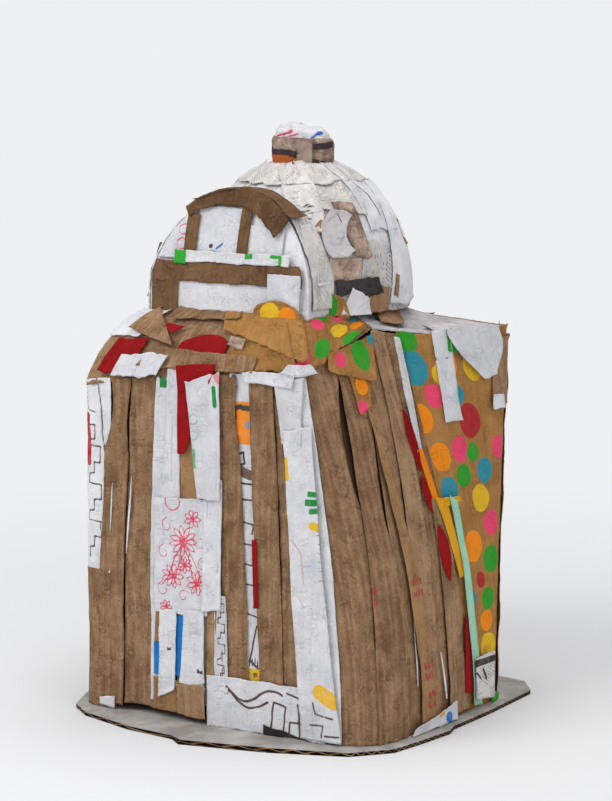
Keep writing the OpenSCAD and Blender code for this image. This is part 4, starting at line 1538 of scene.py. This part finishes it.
@dataclass
class Vault(Assembly):
    """Arched front with its white and brown strips, and the tunnel behind it."""

    front: str = """
        vault_front_panel WHITE 1 PANEL 2.2 = -99 99 0.0 111.2 4.5
        vault_white_0 WHITE 2 FIRM 1.5 vault_white_strips -76 -44 50 84 0
        vault_white_1 WHITE 2 FIRM 1.5 vault_white_strips -38 12 57 98 0
        vault_white_2 WHITE 2 FIRM 1.5 vault_white_strips 18 56 50 82 0
        vault_white_3 WHITE 2 FIRM 1.5 vault_white_strips -53 76 4 34 0
        vault_white_4 WHITE 3.7 FIRM 1.5 vault_white_strips -44 66 47 57 0
        vault_brown_0 DEEP 3 FIRM 2.0 vault_brown_strips -48 -36 54 90 0
        vault_brown_1 DEEP 3 FIRM 2.0 vault_brown_strips 10 20 54 100 0
        vault_brown_2 DEEP 3 FIRM 2.0 vault_brown_strips -80 80 29 48 0
        vault_brown_3 DEEP 3 FIRM 2.0 vault_brown_strips -80 -52 0 31 0
        vault_white_lap WHITE 3.8 FIRM 1.9 - 46 80 8 40 0
        vault_dotted_fold DOTTED 4.8 BOWED 1.6 - 34 88 -3 17 0
        vault_green GREEN 3.9 FIRM 1.9 - -57 -44 45 57 0
    """
    cap: str = "vault_cap_front DEEP 3.4 CAP 1.9 - 126 46 0.97 0.84"
    back: str = """
        vault_shell WHITE 1 TUNNEL 2.2 = 0.0 1.0 -0.05 1.1
        vault_cap_band DEEP 4.4 LIFTED 2.2 = 0.36 0.7 -0.14 0.75
        vault_side_sheet NEWS 2.0 LAID 1.9 - 0.62 0.97 0.1 0.95
        vault_side_fold WHITE 1.7 LAID 1.9 - 0.72 0.9 0.35 1.05
        vault_left_sheet WHITE 2.0 LAID 1.9 - 0.04 0.36 0.05 0.95
        vault_top_sheet NEWS 1.6 LAID 1.9 - 0.3 0.64 0.5 1.1
        vault_print MOTTLED 2.6 LAID 1.9 - 0.05 0.2 0.0 0.3
    """

    def sheets(self) -> list[Sheet]:
        """Front with its strips and small prints, cap and tunnel.

        Returns:
            The sheets.
        """
        prints = {"vault_white_0": (Ring("#d0606c", -52, 76, 5), Ring("#d0606c", -53, 63, 5)),
                  "vault_white_1": lines(SKY, 2, (-14, 60, -8, 65)) + (Block(INK, -22, 60, -18, 64),),
                  "vault_white_4": (Block(GREEN, 19, 52, 27, 59), *lines(GREEN, 3.2, (47, 55, 57, 55, 57, 46))),
                  "vault_dotted_fold": dots((YELLOW, 50, 5, 10), (ORANGE, 68, 3, 9))}
        return (self.lay(self.front, self.body.vault, prints) + self.lay(self.cap, self.body.arch_band)
                + self.lay(self.back, self.body.tunnel))


@dataclass
class Dome(Assembly):
    """Wrinkled shell of the dome, its strips, the scraps on them and the knob."""

    knob_r: float = 29
    knob_reach: Numbers = (0.9, 1.02, 1.06, 1.05, 0.94, 0.9, 0.72, 0.02)
    knob_rise: Numbers = (-5, 6, 17, 30, 32, 38, 41.5, 42)
    scrap_share: float = 0.7
    shell: str = "dome_shell NEWS 1 SHELL 2.5 = 120 480 120 480 0.0 0.985"
    strips: str = """
        dome_strip_1 WHITE 1.6 LOOSE 1.9 = -34 -6 -24 10 0.02 0.66
        dome_strip_2 NEWS 1.6 LOOSE 1.9 = -42 -36 -66 -28 0.02 0.72
        dome_flap WHITE 3.0 LOOSE 1.9 = -8 26 8 34 0.02 0.62
        dome_brown_slip_1 MOTTLED 3.2 LOOSE 1.9 dome_brown_slips -30 -20 -41 -26 0.22 0.49
        dome_brown_slip_2 KRAFT 1.9 LOOSE 1.9 dome_brown_slips -62 -54 -66 -58 0.4 0.7
        dome_dark_piece DARK 3.4 LOOSE 1.9 = -42 -14 -43 -18 0.065 0.135
        dome_crown_wrap NEWS 2.9 CROWN 1.9 = -190 20 -170 0 0.62 0.8
    """
    rear_strips: str = "\n".join(
        f"dome_rear_strip_{i} {('WHITE', 'NEWS')[i % 2]} 1.8 LOOSE 2.8 dome_rear_strips"
        f" {a} {a + 21} {a + 2} {a + 19} 0.02 0.7"
        for i, a in enumerate(range(48, 192, 24)))
    # The white fold on the dome's front is cut from the grey paper, as painted shade on white paper.
    scraps: str = """
        dome_long_1 NEWS 3.8 LOOSE 1.5 - -70 0.34 -48 0.34 -60 0.74 -92 0.76 6
        dome_long_2 NEWS 3.0 LOOSE 1.5 - -46 0.46 -16 0.42 -20 0.86 -80 0.86 6
        dome_long_4 WHITE 3.4 LOOSE 1.5 - -16 0.34 10 0.32 10 0.86 -34 0.86 4
        dome_long_5 NEWS 2.6 LOOSE 1.5 - 12 0.28 36 0.3 46 0.86 0 0.86 2
        dome_long_6 WHITE 2.6 LOOSE 1.5 - -104 0.5 -70 0.46 -86 0.9 -140 0.9 6
        dome_long_7 NEWS 2.4 LOOSE 1.5 - -140 0.46 -104 0.5 -120 0.9 -180 0.9 6
        dome_type NEWS 2.6 LOOSE 1.5 - -28 0.1 2 0.08 12 0.27 -24 0.3 0
        dome_white_fold GREY 4.9 LOOSE 1.5 - -44 0.22 -30 0.24 -28 0.42 -42 0.46 -6
        dome_beige MOTTLED 3.0 LOOSE 1.5 - -46 0.12 -29 0.11 -27 0.22 -45 0.24 0
        dome_brown_low KRAFT 3.2 LOOSE 1.5 - -25 0.0 -10 0.0 -9 0.09 -22 0.1 0
        dome_white_tip WHITE 5.4 LOOSE 1.5 - -41 0.0 -24 0.0 -25 0.05 -34 0.1 0
        dome_slit KRAFT 4.4 SEAM 1.5 - -53 0.18 -49 0.18 -46 0.4 -51 0.4 -4
        dome_seam_1 KRAFT 3.6 SEAM 1.5 - 0 0.27 6 0.27 -4 0.54 -10 0.55 2
        dome_seam_2 KRAFT 3.4 SEAM 1.5 - 9 0.26 14 0.26 8 0.5 2 0.52 2
        dome_side_brown KRAFT 3.8 LOOSE 1.5 - 18 0.27 29 0.25 30 0.36 21 0.38 0
        dome_dotted_flap DOTTED 5.6 LOOSE 1.5 - -58 -0.01 -35 -0.01 -39 0.055 -47 0.085 0
        dome_small_brown KRAFT 3.8 LOOSE 1.5 - -6 0.05 -2 0.04 0 0.13 -3 0.14 0
        dome_rear_a WHITE 3.0 LOOSE 1.5 - 58 0.06 98 0.1 90 0.52 62 0.46 5
        dome_rear_b NEWS 3.2 LOOSE 1.5 - 108 0.2 152 0.14 146 0.62 116 0.58 -6
        dome_rear_c KRAFT 3.8 LOOSE 1.5 - 82 0.46 100 0.5 98 0.76 84 0.72 4
        dome_rear_d MOTTLED 4.8 LOOSE 1.5 - 160 0.1 188 0.14 182 0.4 163 0.36 0
        dome_rear_e WHITE 2.9 LOOSE 1.5 - 36 0.54 92 0.5 112 0.9 50 0.9 3
        dome_rear_f NEWS 3.3 LOOSE 1.5 - 98 0.56 164 0.52 184 0.9 112 0.9 3
        dome_rear_g WHITE 3.4 LOOSE 1.5 - 166 0.3 206 0.34 200 0.72 160 0.7 -4
    """

    def sheets(self) -> list[Sheet]:
        """Shell, strips, scraps and knob; the scraps lie closer to the shell than their layers say.

        Returns:
            The sheets.
        """
        shell = self.lay(self.shell, self.body.dome)
        shell[0].closed = True
        scraps = self.lay(self.scraps, self.body.dome_scrap, self._prints())
        for scrap in scraps:
            scrap.layer = 1 + self.scrap_share * (scrap.layer - 1)
        strips = self.lay(self.strips, self.body.dome) + self.lay(self.rear_strips, self.body.dome)
        return shell + strips + scraps + [self._knob()]

    @staticmethod
    def _prints() -> dict[str, Marks]:
        """Rows of dark dashes, dark folds and a dot on the dome's scraps.

        Returns:
            Marks by the names of the scraps.
        """
        rows = {"dome_type": (-34, 4, 20, 5), "dome_long_1": (-104, -86, 64, 4), "dome_long_2": (-78, -44, 104, 5),
                "dome_long_5": (18, 46, 76, 5), "dome_rear_b": (172, 214, 50, 5)}
        made = {}
        for name, (start, end, y, count) in rows.items():
            made[name] = tuple(mark for k in range(count)
                               for mark in dashes("#4b4848", (start + 2 * k, end), y + 5.5 * k, 9, 3.2, 0.9))
        made["dome_long_4"] = lines("#5a4c42", 2.2, (-30, 124, -22, 108, -12, 92, -8, 70))
        made["dome_long_6"] = lines("#5a4c42", 2.2, (-128, 118, -122, 104, -112, 96))
        return made | {"dome_dotted_flap": dots((GREEN, -70, 6, 7))}

    def _turned(self, a: Array, b: Array) -> Spots:
        """Surface of the knob: a profile of radius and height, turned round the axis and pressed out of round.

        Args:
            a: share of the turn.
            b: share of the profile.

        Returns:
            Points, distance round and along the profile.
        """
        foot = self.body.ring_z + self.body.dome_h - 0.35 * self.knob_r
        t = a * 2 * math.pi + math.radians(120)
        knot = np.linspace(0, 1, len(self.knob_reach))
        r = np.interp(b, knot, np.array(self.knob_reach) * self.knob_r - 3.5)
        r = r * (1 + 0.05 * np.cos(3 * t + 0.6) + 0.07 * np.cos(4 * t + 1))
        z = foot + np.interp(b, knot, np.array(self.knob_rise)) - 2.5 * b * np.cos(t - 0.5)
        x, y = self.body.dome_at
        return np.stack([x + r * np.cos(t), y + r * np.sin(t), z], -1), a * 180, b * 70

    def _knob(self) -> Sheet:
        """Crumpled cap on the crown, with bands of print round it.

        Returns:
            The sheet.
        """
        arc = tuple((112 - 13 * math.cos(0.3 * k), 37 + 13 * math.sin(0.3 * k)) for k in range(6))
        marks = (*lines("#d2d2d6", 37, (-9, 54, 190, 54)), *lines(INK, 4.5, (98, 27, 118, 28)),
                 *lines("#b8602c", 15, (36, 12, 80, 13)), *lines(INK, 4.5, (26, 25, 76, 22, 118, 12)),
                 *lines(INK, 8, (128, 34, 136, 24, 134, 12)), Path(SKY, arc, 3.0),
                 *lines(ROSE, 2.6, (60, 41, 76, 50), (66, 39, 82, 47)), Block("#a58f84", 84, 14, 100, 30))
        return Sheet("knob", self._turned, Stock.MOTTLED, 0.4, Edge.KNOB.value, marks, ("knob",), 1.1, True)


@dataclass
class Carriers:
    """The corrugated board and the carton panels, which stay as the solids that were built."""

    board: Carton = Carton("board_look", "corrugated_board", "#bcbab8", "#b3906b", 0.0038, 0.007)
    carton: Carton = Carton("carton_look", "carton", "#4d3827", "#4d3827", 9.0)
    panels: tuple[str, ...] = ("front_panel", "flank_panel", "recess_panel", "wing_panel", "back_panel", "left_panel")

    def dress(self) -> None:
        """Gives the board and the panels their materials."""
        for look, nodes in ((self.board, ("base_board",)), (self.carton, self.panels)):
            material = look.material()
            for node in nodes:
                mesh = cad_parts[node].data
                mesh.materials.clear()
                mesh.materials.append(material)
                LOG.info("%s keeps its solid", node)


@dataclass
class Studio:
    """Pale sweep, soft lamps and the camera of the photo."""

    camera_at: Place = (1.0453, -1.7896, 0.6253)
    camera_turn: Place = (81.0, 0.0, 30.0)
    lens: float = 98.88
    sky: float = 0.6
    pale: str = "#e0e1e3"
    backdrop: str = "#eff0f2"
    aim: Place = (0.0, 0.0, 0.3)
    lamps: tuple[tuple[str, Place, float, float], ...] = (
        ("key", (-0.9, -1.6, 2.0), 1.4, 29.0), ("fill", (1.9, -0.8, 1.4), 1.4, 8.0),
        ("top", (0.1, 0.3, 2.3), 1.2, 16.0))

    def build(self) -> None:
        """Makes the sweep, the lamps, the world and the camera."""
        self._sweep()
        for lamp in self.lamps:
            self._lamp(*lamp)
        self._world()
        data = bpy.data.cameras.new("photo_camera")
        data.lens, data.sensor_width, data.clip_end = self.lens, 36.0, 50.0
        camera = bpy.data.objects.new("photo_camera", data)
        camera.location = self.camera_at
        camera.rotation_euler = tuple(math.radians(t) for t in self.camera_turn)
        bpy.context.scene.collection.objects.link(camera)
        bpy.context.scene.camera = camera
        bpy.context.scene.view_settings.view_transform = "Standard"

    def _world(self) -> None:
        """White light from all sides, which the camera sees as the backdrop's colour."""
        g = Graph("soft_light", True)
        seen = g.node("ShaderNodeLightPath", out="Is Camera Ray")
        light = g.node("ShaderNodeBackground", None, {"Color": (1, 1, 1, 1), "Strength": self.sky})
        plain = g.node("ShaderNodeBackground", None, {"Color": linear(self.backdrop), "Strength": 1.0})
        shader = g.node("ShaderNodeMixShader", None, {0: seen, 1: light, 2: plain})
        g.node("ShaderNodeOutputWorld", None, {"Surface": shader})
        bpy.context.scene.world = g.material

    def _lamp(self, name: str, at: Place, size: float, power: float) -> None:
        """Makes a square soft lamp that faces the middle of the object.

        Args:
            name: name of the lamp.
            at: its place in metres.
            size: its side in metres.
            power: its power in watts.
        """
        data = bpy.data.lights.new(name, "AREA")
        data.size, data.energy = size, power
        lamp = bpy.data.objects.new(name, data)
        lamp.location = at
        x, y, z = np.array(self.aim) - np.array(at)
        lamp.rotation_euler = (math.atan2(math.hypot(x, y), -z), 0.0, math.atan2(-x, y))
        bpy.context.scene.collection.objects.link(lamp)

    def _sweep(self) -> None:
        """Floor that curves up to a wall far behind the object: a quarter circle between two flats."""
        t, turn = np.linspace(0, math.pi / 2, 24), math.radians(self.camera_turn[2])
        run = np.concatenate([[-9.0], 5 + 3 * np.sin(t), [8.0]])
        rise = np.concatenate([[0.0], 3 - 3 * np.cos(t), [9.0]])
        side = np.linspace(-14, 14, 2)
        x = side[:, None] * math.cos(turn) - run[None] * math.sin(turn)
        y = side[:, None] * math.sin(turn) + run[None] * math.cos(turn)
        mesh = grid_mesh("sweep", np.stack([x, y, np.broadcast_to(rise, x.shape)], -1))
        mesh.materials.append(self._floor_look())
        floor = bpy.data.objects.new("sweep", mesh)
        bpy.context.scene.collection.objects.link(floor)

    def _floor_look(self) -> bpy.types.Material:
        """Pale paint near the object, which goes over to the backdrop's colour where the camera sees it far off.

        Returns:
            The material.
        """
        g = Graph("pale_sweep")
        place = g.node("ShaderNodeTexCoord", out="Object")
        far = g.node("ShaderNodeVectorMath", {"operation": "LENGTH"}, {0: place}, "Value").fade(0.35, 1.2)
        seen = g.node("ShaderNodeLightPath", out="Is Camera Ray")
        paint = {"Base Color": linear(self.pale), "Roughness": 0.9, "Specular IOR Level": 0.0}
        near = g.node("ShaderNodeBsdfPrincipled", None, paint)
        glow = g.node("ShaderNodeEmission", None, {"Color": linear(self.backdrop), "Strength": 1.0})
        shader = g.node("ShaderNodeMixShader", None, {0: far * seen, 1: near, 2: glow})
        g.node("ShaderNodeOutputMaterial", None, {"Surface": shader})
        return g.material


def main() -> None:
    """Builds and logs every sheet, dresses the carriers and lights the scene."""
    logging.basicConfig(level=logging.INFO, format="%(message)s")
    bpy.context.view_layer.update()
    body = Body()
    for assembly in (FrontWall(body), RightWall(body), HiddenWalls(body), Roof(body), Vault(body), Dome(body)):
        LOG.info("building %s", type(assembly).__name__)
        for sheet in assembly.sheets():
            sheet.build()
    Carriers().dress()
    Studio().build()
    bpy.context.view_layer.update()


if __name__ == "__main__":
    main()
